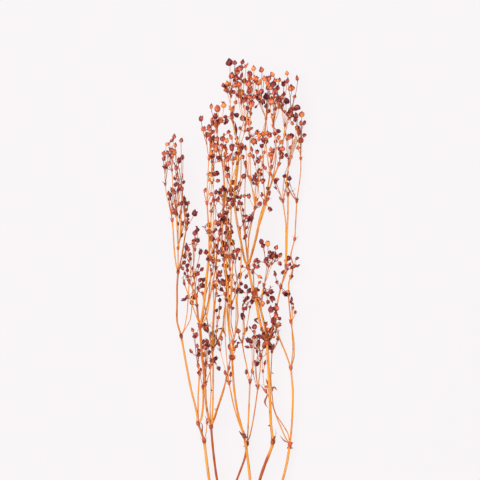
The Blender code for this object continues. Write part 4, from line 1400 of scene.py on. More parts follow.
thin_draw = random.Random(2)
fans = {}
for name, spray in sorted(sprays.items()):
    joints = [end_of(points) for points, width in spray.limbs if points[-1].y > THIN_FROM]
    thin = [thin_stalk(thin_draw, head.end, joints, taken, fans) for head in heads_of(spray.clusters)
            if thin_draw.random() < THIN_SHARES[name]]
    spray.thin = [fork for fork in thin if fork]
print("thin stalks:", {name: len(spray.thin) for name, spray in sprays.items()})
print("all heads:", {name: len(heads_of(spray.clusters + spray.small + spray.thin))
                     for name, spray in sprays.items()})

# %% [markdown]
# ## Skins of rings
# Stalks, bracts and heads are all shells that can be drawn as rings of points along a path, with
# quads between them. numpy makes thousands of rings in a moment, where adding single vertices
# would be slow. Each point also keeps what its finish will ask for. "grain" is a place on the
# stalk's own skin, so fibres can run along it. "tone" sets one piece off from the next, and on a
# head also how much painted glow it gets. "reach" is how near a joint or a tip is. The stain mark
# is how dark the spot has dried, and it also carries painted light: below -1 it makes a stalk a
# brighter gold where heads above shade it, and on a head it paints the inner walls dark as shade.

# %% Skin
TABLE_PRESS = 0.4


def pressed(points):
    """Flattens what would reach through the table, and leaves all else nearly as it is."""
    heights = points[..., 2]
    raised_heights = (heights + np.sqrt(heights ** 2 + TABLE_PRESS ** 2)) / 2
    return np.concatenate((points[..., :2], raised_heights[..., None]), axis=-1)


class Skin:
    """A mesh in the making, from closed shells of rings."""

    def __init__(self):
        self.points, self.faces, self.marks = [], [], []
        self.count = 0

    def add(self, rings, grain, tone, reach, stain_and_painted_light=0.0):
        """Joins rings of points, an array of (levels, sides, 3), and closes both ends."""
        levels, sides = rings.shape[:2]
        rings = pressed(rings)
        ids = self.count + np.arange(levels * sides).reshape(levels, sides)
        ahead = np.roll(ids, -1, axis=1)
        walls = np.stack((ids[:-1], ahead[:-1], ahead[1:], ids[1:]), axis=-1).reshape(-1, 4)
        self.faces += walls.tolist() + [ids[0, ::-1].tolist(), ids[-1].tolist()]
        marks = np.zeros((levels, sides, 6))
        marks[..., :3] = grain
        marks[..., 3], marks[..., 4], marks[..., 5] = tone, reach, stain_and_painted_light
        self.points.append(rings.reshape(-1, 3))
        self.marks.append(marks.reshape(-1, 6))
        self.count += levels * sides

    def wear(self, name, finish):
        """The skin as an object with a finish."""
        mesh = bpy.data.meshes.new(name)
        mesh.from_pydata(in_metres(np.concatenate(self.points)).tolist(), [], self.faces)
        marks = np.concatenate(self.marks)
        grain = mesh.attributes.new("grain", 'FLOAT_VECTOR', 'POINT')
        grain.data.foreach_set("vector", marks[:, :3].ravel())
        for column, label in enumerate(("tone", "reach", "stain_and_painted_light"), start=3):
            values = mesh.attributes.new(label, 'FLOAT', 'POINT')
            values.data.foreach_set("value", marks[:, column].copy())
        mesh.shade_smooth()
        mesh.materials.append(finish)
        worn = bpy.data.objects.new(name, mesh)
        scene.collection.objects.link(worn)
        return worn


print("empty skin, points:", Skin().count)

# %% [markdown]
# ## Tubes
# Rings are carried along a path without twisting: each keeps the last one's direction as nearly as
# it can, which stops the fibres from spiralling.

# %% Tubes
TURN = np.array([0.0, 0.0, 1.0])
NEARLY_ALONG = 0.95
GRAIN_SHIFT = 90.0


def rings_along(path, radii, sides, across=None, flat=1.0):
    """Rings across a path. Radii can vary by level and by side, and flat squashes one way."""
    ways = np.gradient(path, axis=0)
    ways /= np.linalg.norm(ways, axis=1)[:, None]
    across = TURN if across is None else np.array(across, dtype=float)
    if abs(across @ ways[0]) > NEARLY_ALONG * np.linalg.norm(across):
        across = np.array([1.0, 0.0, 0.0])
    angles = np.arange(sides) * math.tau / sides
    radii = np.broadcast_to(np.reshape(radii, (len(path), -1)), (len(path), sides))
    rings = np.empty((len(path), sides, 3))
    for level, way in enumerate(ways):
        across = across - way * (way @ across)
        across /= np.linalg.norm(across)
        other = np.cross(way, across)
        rings[level] = path[level] + radii[level][:, None] * (
            np.cos(angles)[:, None] * across + flat * np.sin(angles)[:, None] * other)
    return rings


def skin_grain(draw, along, radii, sides):
    """Places on a tube's unrolled skin, shifted by a draw so that no two tubes look alike."""
    angles = np.arange(sides) * math.tau / sides
    grain = np.empty((len(along), sides, 3))
    grain[..., 0] = np.cos(angles) * np.reshape(radii, (-1, 1))
    grain[..., 1] = np.sin(angles) * np.reshape(radii, (-1, 1))
    grain[..., 2] = along[:, None]
    return grain + [draw.uniform(0.0, GRAIN_SHIFT) for _ in range(3)]


tube = rings_along(bend, np.ones(len(bend)), 8)
print("a trial tube's rings and sides:", tube.shape[:2])

# %% [markdown]
# ## Stalks with swollen joints
# A gypsophila stalk is a plain round tube that swells into a knuckle where two leaves once stood.
# The knuckle dries dark red. The tube runs on through the knuckle and closes there, so the next
# stalks can start inside it. "reach" rises from 0 to 1 towards a joint, for the finish to redden.

# %% Stalks
STALK_STEP = 2.2
STALK_SIDES = 12
SLIM_SIDES = 8
SLIM = 1.3
KNUCKLE_BASE = 0.8
KNUCKLE_GAIN = 1.08
KNUCKLE_LENGTH = 1.5
KNUCKLE_LEVELS = 9
BLUSH = 2.6
FOOT_BLUSH = 1.4
FOOT_SHARE = 0.7
UNEVEN = 0.05
WAVE_STARTS = (0.0, 6.0)
WAVES = (0.25, 0.5)
ENDS_SQUARED = 0.002


def knuckle_radius(radius):
    return KNUCKLE_BASE + KNUCKLE_GAIN * radius


def swell(path, radius, knuckle):
    """Adds a knuckle round a path's end: the longer path, and a radius at each of its points."""
    way = path[-1] - path[-2]
    way /= np.linalg.norm(way)
    half = knuckle * KNUCKLE_LENGTH
    keep = distances(path) < distances(path)[-1] - half
    keep[0] = True
    shares = np.linspace(-1.0, 1.0, KNUCKLE_LEVELS)
    path = np.concatenate((path[keep], path[-1] + np.outer(shares * half, way)))
    round_off = np.sqrt(np.clip(1.0 - shares ** 2, ENDS_SQUARED, 1.0))
    radii = knuckle * round_off
    radii[shares < 0] = np.maximum(radii[shares < 0], radius)
    return path, np.concatenate((np.full(keep.sum(), radius), radii))


def add_stalk(skin, draw, points, width, stain_and_painted_light=0.0, knuckle=True):
    radius = width / 2
    path = smooth_path(points, STALK_STEP)
    length = distances(path)[-1]
    radii = np.full(len(path), radius)
    if knuckle:
        path, radii = swell(path, radius, knuckle_radius(radius))
    along = distances(path)
    noted = np.size(stain_and_painted_light) > 1
    stain_and_painted_light = np.interp(along / length, np.linspace(0.0, 1.0, np.size(stain_and_painted_light)), np.ravel(stain_and_painted_light))[:, None]
    from_end = np.abs(along - length)
    blush = np.exp(-(from_end / (BLUSH + radius)) ** 2)
    blush = np.maximum(blush, FOOT_SHARE * np.exp(-(along / (FOOT_BLUSH + radius)) ** 2))
    sides = STALK_SIDES if width >= SLIM else SLIM_SIDES
    uneven = 1.0 + UNEVEN * np.sin(along * draw.uniform(*WAVES) + draw.uniform(*WAVE_STARTS))
    rings = rings_along(path, radii * uneven, sides)
    grain, tone = skin_grain(draw, along, radii, sides), draw.random()
    skin.add(rings, grain, 0.0 if noted else tone, blush[:, None], stain_and_painted_light)


def faces_of(add, *what):
    """How many faces a trial of a shape has."""
    trial = Skin()
    add(trial, random.Random(0), *what)
    return len(trial.faces)


print("one stalk, faces:", faces_of(add_stalk, [(0, 0, 0), (0, 40, 0)], 3.0))

# %% [markdown]
# ## Bracts
# At each joint sit two opposite bracts, the dry rests of leaves. They are thin, pointed and curl
# outwards. A bract here is a tube too, but a flat one: a wide, thin ring at each level, widest near
# its foot. Modelling it as a closed blade, and not as one sheet, keeps it solid from every side.

# %% Bracts
BLADE_SIDES = 6
BLADE_LEVELS = 7
BLADE_THICKNESS = 0.16
CURL = (0.2, 0.9)
BLADE_FULL = 1.15
BLADE_FOOT = 0.55
BLADE_BELLY = 1.3
CURL_POWER = 2.4
SLANT = 0.18
THINNEST_SHARE = 0.04
PAIR_LENGTHS = (0.7, 1.15)


def add_bract(skin, draw, joint, way, side, foot, length, width):
    """A curling blade from a joint's skin: first close along the stalk, and then outwards."""
    way, side = np.array(way), np.array(side)
    start = np.array(joint) + side * foot
    curl = draw.uniform(*CURL)
    t = np.linspace(0.0, 1.0, BLADE_LEVELS)
    path = start + length * (np.outer(t, way) + np.outer(SLANT * t + curl * t ** CURL_POWER, side))
    bellied = BLADE_FOOT + BLADE_BELLY * t * (1.0 - t)
    halves = width / 2 * np.clip(BLADE_FULL * np.sqrt(1.0 - t) * bellied, THINNEST_SHARE, None)
    across = np.cross(way, side)
    rings = rings_along(path, halves, BLADE_SIDES, across, BLADE_THICKNESS / width * 2)
    grain = skin_grain(draw, t * length, halves, BLADE_SIDES)
    skin.add(rings, grain, draw.random(), t[:, None])


def add_bract_pair(skin, draw, joint, way, turn, foot, length, width):
    way = Vector(way).normalized()
    side = around(way, way.orthogonal().normalized(), turn)
    for sign in (1, -1):
        own_length = length * draw.uniform(*PAIR_LENGTHS)
        add_bract(skin, draw, joint, way, side * sign, foot, own_length, width)


print("one pair of bracts, faces:", faces_of(add_bract_pair, (0, 0, 0), TIPWARDS, 0.0, 1.5, 4.0, 1.6))

# %% [markdown]
# ## Dry leaves that can be traced
# A few withered leaves, sheaths and lumps at joints show by themselves. Each line gives a leaf's
# spray, its width, where along it it is widest, how pale and how straw-coloured it is, and its
# points in plan.

# %% Leaf table
LEAVES = table("""
a 1.4 0.5 0.1 0 204,39 202,47 202,55 199,58
a 1.6 0.4 0.1 0 198,56 199,52
a 1.7 0.5 0.9 0 180,324 183,325 184,321
b 1.5 0.4 0.3 0 211,52 209,57
b 1.5 0.4 0.3 0 211,52 213,58
b 2.2 0.5 0.8 0 205,97 208,99
b 2 0.5 0.7 0 204,93 201,94
b 1.4 0.5 0.6 0 213,89 210,90
b 4 0.6 0.15 0 201,156 204,153 208,147
b 2.2 0.5 0.1 0 200,155 197,157
b 3.2 0.5 0.1 0 213,147 215,143 218,139
b 2.6 0.5 0 0 202,130 204,134 208,138
b 2.6 0.5 0.5 0 202,136 205,139 209,138
b 1.5 0.5 0 0 222,152 220,151 217,151
b 1.8 0.5 0 0 213,123 214,119 217,115
b 1.7 0.5 0 0 224,150 225,146 226,143
c 1.7 0.4 0.3 0 250,98 248,101
c 1.7 0.4 0.3 0 250,98 252,101
c 1.8 0.4 0.7 0 258,92 255,95
c 1.5 0.4 0.6 0 258,92 260,96
c 1.2 0.4 0.1 0 246,34 243,33
c 2.8 0.5 1 0 247,36 249,34
c 1.3 0.4 0.5 0 242,138 239,142 239,147
d 2 0.5 0 0 244,43 242,45 239,49
d 1.8 0.5 0 0 244,42 248,43
d 1.4 0.4 0.3 0 229,97 226,100
d 1.4 0.4 0.3 0 229,97 232,100
d 4.4 0.5 1 0 232,120 235,125
d 4 0.5 0.8 0 232,120 229,125
d 1.6 0.4 0.2 0 234,136 232,141
d 1.6 0.4 0.3 0 234,136 237,141
d 2.4 0.5 0 0 229,149 229,157
e 2.4 0.5 0 0 273,38 274,41 276,44
e 2 0.5 0.1 0 273,38 271,35
e 0.7 0.5 0.9 0.5 274,41 276,46 275,52
e 2 0.5 0.1 0 271,54 268,54
e 2.2 0.5 0.9 0 243,412 245,413 248,417
e 3.4 0.5 0.5 0 230,406 237,403 244,399
e 3.6 0.4 0.4 0 245,399 249,397 254,396
e 4.6 0.5 0.85 0 267,138 262,134
e 4.4 0.5 0.4 0 267,138 272,134
e 4 0.5 0.1 0 268,138 271,143 274,148
e 3.4 0.5 0.5 0 266,138 263,142 262,147
e 3 0.5 0.2 0 267,138 268,143 268,149
e 2.6 0.5 0.2 0 252,160 255,160 259,156
e 3 0.5 0 0 236,344 236,351 235,358
f 1.4 0.4 0.2 0.2 289,36 284,39 280,44
f 2.8 0.5 0.8 0 290,35 293,37
f 2.8 0.5 1 0 290,32 287,31
f 2.8 0.5 1 0 290,32 293,31
f 2.1 0.5 0.9 0 266,84 265,78 266,74 268,72
f 1.8 0.4 1.3 0 267,87 264,90 261,94
f 2.8 0.5 1.3 0 265,92 268,94
f 2.2 0.5 1.2 0 268,97 266,101
f 2.4 0.6 1.3 0 271,88 273,92 275,92 277,89
f 1.7 0.5 1.3 0.3 271,107 274,106
f 4.6 0.8 1 0.9 289,319 291,325 294,335 297,344
f 1.6 0.4 0.6 0 283,279 281,282
f 1.6 0.4 0.6 0 283,279 285,282
f 1.6 0.4 0.6 0 297,279 295,282
f 1.6 0.4 0.6 0 297,279 299,282
""")


print("traced leaves:", len(LEAVES))

# %% [markdown]
# ## Leaves on their stalks
# A leaf's first point moves to the nearest stalk, so that the leaf is attached from whichever side
# it is seen.

# %% Traced leaves
LEAF_STEP = 0.9
LEAF_THICKNESS = 0.3
LEAF_RISE = (0.3, 1.2)
LEAF_SHARES = (0.5, 1.0, 0.15)
LEAF_GRAIN = 4.0


def nearest_on_stalks(spray, x, y):
    """The point of the spray's stalks and twigs that is nearest to a place in plan."""
    runs = [(a, b) for points, width in spray.limbs + spray.threads for a, b in zip(points, points[1:])]
    runs += [(branch.root, branch.end) for branch in branches(spray.clusters)]
    starts, ends = (np.array([tuple(run[side]) for run in runs]) for side in (0, 1))
    along = ends - starts
    from_start = np.array((x, y)) - starts[:, :2]
    lengths_sq = np.maximum((along[:, :2] ** 2).sum(axis=1), 1e-6)
    share = np.clip((from_start * along[:, :2]).sum(axis=1) / lengths_sq, 0.0, 1.0)
    nearest = starts + share[:, None] * along
    return nearest[np.hypot(nearest[:, 0] - x, nearest[:, 1] - y).argmin()]


def add_leaf(skin, draw, spray, width, fullest, pale, straw, *plan):
    """A withered blade that lies flat and follows its points in plan."""
    foot = nearest_on_stalks(spray, *plan[0])
    points = [foot] + [(x, y, foot[2] + draw.uniform(*LEAF_RISE)) for x, y in plan[1:]]
    path = smooth_path(points, LEAF_STEP)
    t = distances(path) / distances(path)[-1]
    halves = width / 2 * np.interp(t, (0.0, fullest, 1.0), LEAF_SHARES)
    across = np.cross(path[1] - path[0], TURN)
    rings = rings_along(path, halves, BLADE_SIDES, across, LEAF_THICKNESS / width * 2)
    skin.add(rings, skin_grain(draw, t * LEAF_GRAIN, halves, BLADE_SIDES), pale, t[:, None], straw)


leaf = rows_of(LEAVES, "spray_f")[0]
print("one traced leaf, faces:", faces_of(add_leaf, sprays["spray_f"], *leaf[1:]))

# %% [markdown]
# ## Twigs and stalks of the heads
# The twigs are as thin as thread. Where one forks it has a tiny knuckle, and two tiny bracts. A
# branch leaves its fork at an angle and then turns towards the stem's tip, so each one is a Hermite
# curve whose end points where its head points.

# %% Twigs
TWIG_STEP = 1.6
TWIG_SIDES = 6
TWIG_SLIMMING = 0.85
PEDICEL_RADII = (0.27, 0.33)
TWIG_KNUCKLE = 1.65
TWIG_TURN = 0.35
TINY_BRACT = (1.3, 2.2)
TINY_WIDTH = 0.8
TWIG_BLUSH = 1.4
PEDICEL_BLUSH = 0.5


def add_tiny_pair(bracts, draw, joint, way, foot):
    turn = draw.uniform(0.0, math.pi)
    add_bract_pair(bracts, draw, joint, way, turn, foot, draw.uniform(*TINY_BRACT), TINY_WIDTH)


def add_twig(skin, bracts, draw, branch):
    root, end = np.array(branch.root), np.array(branch.end)
    if np.linalg.norm(end - root) < SMALL_REACH:
        return
    straight = (end - root) / np.linalg.norm(end - root)
    is_head = isinstance(branch, Head)
    goal = np.array(branch.axis) if is_head else straight + TWIG_TURN * np.array(TIPWARDS)
    last_way = goal / np.linalg.norm(goal)
    first_way = 2 * straight - last_way
    path = smooth_path([root, end], TWIG_STEP, first_way, last_way)
    length = distances(path)[-1]
    if is_head:
        radii = np.linspace(*PEDICEL_RADII, len(path))
    else:
        radius = branch.stalk_radius * TWIG_SLIMMING
        path, radii = swell(path, radius, radius * TWIG_KNUCKLE)
        add_tiny_pair(bracts, draw, end, last_way, radius)
    along = distances(path)
    blush = np.exp(-(np.abs(along - length) / TWIG_BLUSH) ** 2) * (PEDICEL_BLUSH if is_head else 1.0)
    rings = rings_along(path, radii, TWIG_SIDES)
    skin.add(rings, skin_grain(draw, along, radii, TWIG_SIDES), draw.random(), blush[:, None])


trial = Skin()
add_twig(trial, Skin(), random.Random(0), sample)
print("one head's stalk, faces:", len(trial.faces))

# %% [markdown]
# ## Seed heads
# A dry head is the flower's cup, the calyx: five sepals joined into a bell, whose tips stand up as
# teeth. Some have closed over the seeds like an urn, some gape, and the youngest stayed slim buds.
# Each kind is a profile, turned round the head's axis. The last number of a profile point says how
# far the five teeth pull that level up to the tip. Levels past the teeth lead back down inside, so
# a gaping cup has a real hollow.

# %% Head profiles
TEETH = 5
HEAD_RING = 20
TOOTH_SHARPNESS = 1.4
PROFILES = {
    "urn": ((1.04, 0.12), [
        (0.00, 0.16, 0), (0.03, 0.34, 0), (0.12, 0.68, 0), (0.26, 0.94, 0), (0.42, 1.00, 0),
        (0.57, 0.86, 0), (0.68, 0.64, 0.1), (0.75, 0.48, 0.45), (0.80, 0.40, 1.0),
        (0.76, 0.27, 0.7), (0.66, 0.26, 0), (0.52, 0.03, 0)]),
    "cup": ((1.02, 1.02), [
        (0.00, 0.16, 0), (0.05, 0.40, 0), (0.15, 0.73, 0), (0.31, 0.94, 0), (0.48, 1.00, 0),
        (0.62, 0.94, 0.2), (0.72, 0.88, 0.6), (0.76, 0.86, 1.0),
        (0.72, 0.78, 0.8), (0.56, 0.80, 0), (0.34, 0.70, 0), (0.20, 0.34, 0), (0.18, 0.03, 0)]),
    "capsule": ((1.04, 0.04), [
        (0.00, 0.16, 0), (0.04, 0.46, 0), (0.14, 0.78, 0), (0.30, 0.98, 0), (0.50, 1.00, 0),
        (0.68, 0.88, 0), (0.81, 0.64, 0.1), (0.90, 0.36, 0.5), (0.94, 0.10, 1.0)]),
    "bud": ((1.0, 0.05), [
        (0.00, 0.26, 0), (0.06, 0.56, 0), (0.22, 0.92, 0), (0.40, 1.00, 0), (0.58, 0.88, 0),
        (0.74, 0.62, 0.2), (0.85, 0.40, 0.6), (0.90, 0.14, 1.0)]),
}
tooth_angles = np.arange(HEAD_RING) * math.tau / HEAD_RING
tooth_share = ((1.0 + np.cos(TEETH * tooth_angles)) / 2) ** TOOTH_SHARPNESS
print("kinds of head:", ", ".join(PROFILES))

# %% [markdown]
# ## Turning a head
# No two dry heads are alike. Each draw presses a head a little flat, dents it with two slow waves
# round its axis and bends it. Five ribs run up to the teeth.

# %% Turn a head
RIB = 0.05
DENT = 0.12
LEAN = 0.12
FLATTEST = 0.84


def turned(draw, foot, axis, length, radius, kind):
    """Rings of a head of that kind, and each point's share of the way up."""
    (tip_rise, tip_width), profile = PROFILES[kind]
    rise, width, pull = [np.array(column, dtype=float)[:, None] for column in zip(*profile)]
    teeth = pull * tooth_share
    up = rise + teeth * (tip_rise - rise)
    out = width + teeth * (tip_width - width)
    belly = np.sin(np.clip(rise, 0.0, 1.0) * math.pi)
    ribs = 1.0 + RIB * np.cos(TEETH * tooth_angles) * belly
    phase = [draw.uniform(0.0, math.tau) for _ in range(3)]
    waves = np.sin(2 * tooth_angles + phase[0]) + np.sin(3 * tooth_angles + phase[1] + 3 * up)
    dents = 1.0 + DENT * belly * waves
    axis = Vector(axis)
    side = axis.orthogonal().normalized()
    other = axis.cross(side)
    turn = phase[2]
    across = around(axis, side, turn)
    along = other * math.cos(turn) - side * math.sin(turn)
    out = radius * out * ribs * dents
    places = (np.array(foot) + length * up[..., None] * np.array(axis)
              + (out * np.cos(tooth_angles))[..., None] * np.array(across)
              + (out * np.sin(tooth_angles))[..., None] * np.array(along) * draw.uniform(FLATTEST, 1.0)
              + (length * LEAN * up ** 2)[..., None] * np.array(side))
    return places, up


rings, _ = turned(random.Random(0), Vector(), UP, 5.0, 2.0, "urn")
print("an urn's rings and sides:", rings.shape[:2])

# %% [markdown]
# ## Petals and husks
# Some heads keep a few shreds of petal, which stand out of their mouths. A flower that never set
# seed leaves a husk of a few shrivelled blades.

# %% Petals and husks
PETALS = (2, 4)
PETAL_SIDES = 4
PETAL_HALVES = (0.16, 0.26, 0.3, 0.12)
PETAL_FOOT = 0.3
PETAL_FLARE = 1.5
PETAL_SPREAD = (0.1, 0.7)
PETAL_THICKNESS = 0.3
PETAL_STAIN = 0.35
HUSK_BLADES = 4
HUSK_SPREAD = 0.8
HUSK_TURN = 0.3
HUSK_LENGTHS = (0.5, 1.0)
HUSK_BREADTH = 1.1


def add_petals(skin, draw, mouth, axis, side, radius, length):
    """A few withered shreds of petal that stand out of a head's mouth."""
    axis, side = Vector(axis), Vector(side)
    for _ in range(draw.randint(*PETALS)):
        out = around(axis, side, draw.uniform(0.0, math.tau))
        t = np.linspace(0.0, 1.0, len(PETAL_HALVES))
        path = (np.array(mouth) + np.outer(t * length, axis)
                + np.outer(radius * (PETAL_FOOT + draw.uniform(*PETAL_SPREAD) * t ** PETAL_FLARE), out))
        halves = radius * np.array(PETAL_HALVES)
        rings = rings_along(path, halves, PETAL_SIDES, axis.cross(out), PETAL_THICKNESS)
        skin.add(rings, skin_grain(draw, t, halves, PETAL_SIDES), draw.random(), 1.0, PETAL_STAIN)


def add_husk(skin, draw, head):
    """What is left of a flower that never set seed: a few shrivelled blades."""
    side = head.axis.orthogonal().normalized()
    for index in range(HUSK_BLADES):
        turn = (index + draw.uniform(-HUSK_TURN, HUSK_TURN)) * math.tau / HUSK_BLADES
        out = around(head.axis, side, turn)
        way = (head.axis + out * draw.uniform(0.0, HUSK_SPREAD)).normalized()
        length = head.length * draw.uniform(*HUSK_LENGTHS)
        add_bract(skin, draw, head.base, way, out, 0.0, length, head.radius * HUSK_BREADTH)


print("one husk, faces:", faces_of(add_husk, sample))

# %% [markdown]
# ## Whole heads
# Inside a gaping cup sits the seed capsule. Slim heads are mostly buds or husks, and wide ones gape
# more often. Each head nods to a side of its own, and is a little fuller than the coarse one.

# %% Seed heads
NOD = 0.28
FULLNESS = (1.0, 1.28)
FULLEST = 3.9
SHRUNK = 0.9
GROWN = 1.08
SLIGHT = 0.86
LEFT_TIP = 192.0
HUSK_WIDTH = 2.7
PETAL_SHARE = 0.3
PETAL_REACH = 0.45
MOUTH = 0.7
CAPSULE_SEAT = 0.16
CAPSULE_LENGTH = 0.5
CAPSULE_WIDTH = 0.6
CAPSULE_PAINTED_SHADE = 0.8
KIND_CHANCES = (
    (HUSK_WIDTH, {"husk": 6, "bud": 4}),
    (SLENDER_WIDTH, {"bud": 6, "urn": 2, "capsule": 2}),
    (HEAD_WIDTH, {"urn": 5, "cup": 3, "capsule": 3, "bud": 1}),
    (math.inf, {"urn": 4, "cup": 5, "capsule": 2}),
)


def add_head(skin, draw, head, kind, tone):
    if kind == "husk":
        add_husk(skin, draw, head)
        return
    places, up = turned(draw, head.base, head.axis, head.length, head.radius, kind)
    levels = len(up)
    inner = np.arange(levels)[:, None] > np.argmax([pull for _, _, pull in PROFILES[kind][1]])
    grain = skin_grain(draw, up.mean(axis=1), np.ones(levels), HEAD_RING)
    # Inner walls get a mark of 1, which the head finish paints nearly black as shade.
    skin.add(places, grain, tone, np.clip(up, 0.0, 1.0), np.where(inner, 1.0, 0.0))
    if kind == "cup":
        seat = head.base + head.axis * head.length * CAPSULE_SEAT
        places, up = turned(draw, seat, head.axis, head.length * CAPSULE_LENGTH, head.radius * CAPSULE_WIDTH,
                            "capsule")
        grain = skin_grain(draw, up.mean(axis=1), np.ones(len(up)), HEAD_RING)
        # The capsule's mark makes the head finish paint it dark as shade inside the cup.
        skin.add(places, grain, tone, 0.5, CAPSULE_PAINTED_SHADE)
    if kind in ("cup", "urn") and draw.random() < PETAL_SHARE:
        mouth = head.base + head.axis * head.length * MOUTH
        add_petals(skin, draw, mouth, head.axis, head.axis.orthogonal().normalized(), head.radius,
                   head.length * PETAL_REACH)


def nodding(draw, head):
    """The head, a little fuller than the coarse one, and nodding to a side of its own."""
    nod = Vector(draw.gauss(0.0, 1.0) for _ in range(3)) * NOD
    size = SHRUNK if head.end.y < CROWN_FROM else GROWN if head.end.y > DOME_FROM else 1.0
    size *= draw.uniform(*FULLNESS) * (SLIGHT if head.base.x < LEFT_TIP else 1.0)
    size = SWOLLEN.get(place_of(head), size)
    head.axis = (head.axis + nod).normalized()
    head.radius = min(head.radius * size, FULLEST)
    head.length *= max(size, 1.0) ** 0.5
    return head


def kind_of(draw, head):
    """Slim heads are buds or husks, and wide ones gape more often."""
    chances = next(kinds for widest, kinds in KIND_CHANCES if 2 * head.radius <= widest)
    return draw.choices(list(chances), chances.values())[0]


print("faces of each kind:", {kind: faces_of(add_head, sample, kind, 0.5) for kind in (*PROFILES, "husk")})

# %% [markdown]
# ## Heads that stand out
# Most heads get their kind and tone from a draw. The ones that catch the eye in the photograph are
# named here by their places in plan: their tone, which sets how much painted glow they get, which of
# them gape or fray, and how much fuller than common they are.

# %% Noted heads
# A tone near 1 gives a head the most painted glow, and a tone of 0 leaves it darkest.
TONES = named("""
0.95 254,411 264,401 268,397 224,374 175,328 268,236 210,301 258,397 302,366 287,407 211,326 280,375
0.62 274,406 228,397 270,392 254,401 248,396 279,400 257,347 218,371 253,340 217,341 214,258 253,208
  260,203 262,346 268,346 262,176 278,156 275,165 290,372 252,376 166,337 168,317 177,305 277,155
  274,156 272,326 271,331 282,331
0.42 262,410 250,405 242,412 236,411 249,389 274,387 237,402 250,358 292,392 298,402 301,340 263,299
  237,230 228,243 207,346 246,414 231,405 167,328 163,327 171,330
0.25 235,418 242,418 297,373 258,319 278,349 232,332 224,197 285,185 264,187 163,322 174,344 170,341
  181,340 170,324 173,290 176,288 278,392 279,381 284,396 247,373 256,374 246,380 231,388 253,383
  249,383 258,382 262,379 272,380 301,349 175,268 177,266 178,290 182,277 243,304 251,300 254,303
  256,300 252,297 270,271 280,327 281,323
0 218,163 216,170 220,172 220,180 230,418 287,379 267,383 178,320 224,394 186,257 293,345 288,222
  250,260 253,262 246,264 250,139 212,240 194,268 195,183 202,195 203,201 199,201 202,211 247,182
  249,189 252,177 246,194 242,165 227,359 237,365 242,362 216,307 228,311 221,287 184,297 213,342
  243,163 175,296 187,265 198,251 193,240 198,240 244,399 206,150 208,154 205,156 203,138 249,140
  272,151 273,161 219,111 214,140 213,146 223,151 273,395 288,294
""")
KINDS = named("""
cup 274,387 284,396 250,405 242,412 272,181 264,401
urn 254,411 262,410 292,392 298,402 242,418 235,418 228,397 270,392 252,376 301,340 297,373 231,405
  267,383
bud 274,406 287,407 230,418
capsule 250,139 243,163 212,240 237,230
husk 272,380 218,72 207,61 246,414 288,294 293,290 285,290
""")
SWOLLEN = named("""
0.5 293,290 285,290 280,281
0.6 218,72 207,61 247,373 256,374 288,307 275,298
0.7 243,163 246,380 288,294
0.8 246,414
0.9 249,383 253,383
1.12 252,376
1.15 254,411 231,405 250,358
1.2 301,340 250,260 253,262 298,402
1.25 267,383
1.3 274,387 287,379 242,412
1.35 270,392
1.7 272,380
""")
TONE_DRAW = (2.0, 2.6)
DIMMED = 0.68


def place_of(head):
    """A head's place in plan, in whole millimetres."""
    centre = head.base + head.axis * head.length / 2
    return round(centre.x), round(centre.y)


def character(draw, head):
    """The kind and the tone of a head: noted ones first, and a draw for the rest."""
    kind, tone = kind_of(draw, head), draw.betavariate(*TONE_DRAW)
    place = place_of(head)
    if place[0] < LEFT_TIP or place[1] < CROWN_FROM:
        tone *= DIMMED
    return KINDS.get(place, kind), TONES.get(place, tone)


print("noted heads:", len(TONES))

# %% [markdown]
# ## Finishes as sums
# Shader nodes are easier to read as arithmetic. A small class wraps a node's output, so that an
# expression such as 0.4 + blush * 0.2 adds the Math nodes by itself. Any other node comes from one
# method, which takes its type, its settings and what goes into its sockets.

# %% Finish
def arithmetic(operation):
    """A method that joins an output and another value in a Math node."""
    def method(first, second):
        return first.finish.node("ShaderNodeMath", {"operation": operation}, {0: first, 1: second})

    return method


class Output:
    """A node's output that can be used in arithmetic."""

    def __init__(self, finish, socket):
        self.finish = finish
        self.socket = socket

    __add__ = __radd__ = arithmetic('ADD')
    __sub__ = arithmetic('SUBTRACT')
    __mul__ = __rmul__ = arithmetic('MULTIPLY')
    __pow__ = arithmetic('POWER')


class Finish:
    """A material whose nodes are written as expressions."""

    def __init__(self, name):
        self.material = bpy.data.materials.new(name)
        self.material.use_nodes = True
        self.tree = self.material.node_tree
        self.shader = self.tree.nodes["Principled BSDF"]

    def plug(self, node, inputs):
        for key, value in inputs.items():
            if isinstance(value, Output):
                self.tree.links.new(value.socket, node.inputs[key])
            else:
                node.inputs[key].default_value = value

    def node(self, kind, settings=(), inputs=(), output=0):
        made = self.tree.nodes.new(kind)
        settings = dict(settings)
        for place, colour in settings.pop("stops", ()):
            ramp = made.color_ramp.elements
            stop = ramp[0] if place == 0 else ramp[-1] if place == 1 else ramp.new(place)
            stop.color = colour
        for setting, value in settings.items():
            setattr(made, setting, value)
        self.plug(made, dict(inputs))
        return Output(self, made.outputs[output])

    def mark(self, name):
        """One of the values that a skin keeps at every point."""
        output = "Vector" if name == "grain" else "Fac"
        return self.node("ShaderNodeAttribute", {"attribute_name": name}, output=output)

    def mix(self, share, first, second):
        """From the first colour to the second."""
        return self.node("ShaderNodeMix", {"data_type": 'RGBA'}, {0: share, 6: first, 7: second}, 2)

    def noise(self, place, scale, detail=2.0, stretch=(1.0, 1.0, 1.0)):
        """Noise from 0 to 1 over a place, drawn out by a stretch."""
        place = self.node("ShaderNodeVectorMath", {"operation": 'MULTIPLY'}, {0: place, 1: stretch})
        return self.node("ShaderNodeTexNoise", {}, {"Vector": place, "Scale": scale, "Detail": detail}, "Fac")

    def step(self, value, low, high):
        """0 below low and 1 above high, with a soft slope between."""
        return self.node("ShaderNodeMapRange", {"interpolation_type": 'SMOOTHSTEP'},
                         {"Value": value, "From Min": low, "From Max": high}, "Result")

    def relief(self, height, strength, distance):
        return self.node("ShaderNodeBump", {}, {"Height": height, "Strength": strength, "Distance": distance},
                         "Normal")


print("nodes of a plain finish:", len(Finish("trial").tree.nodes))
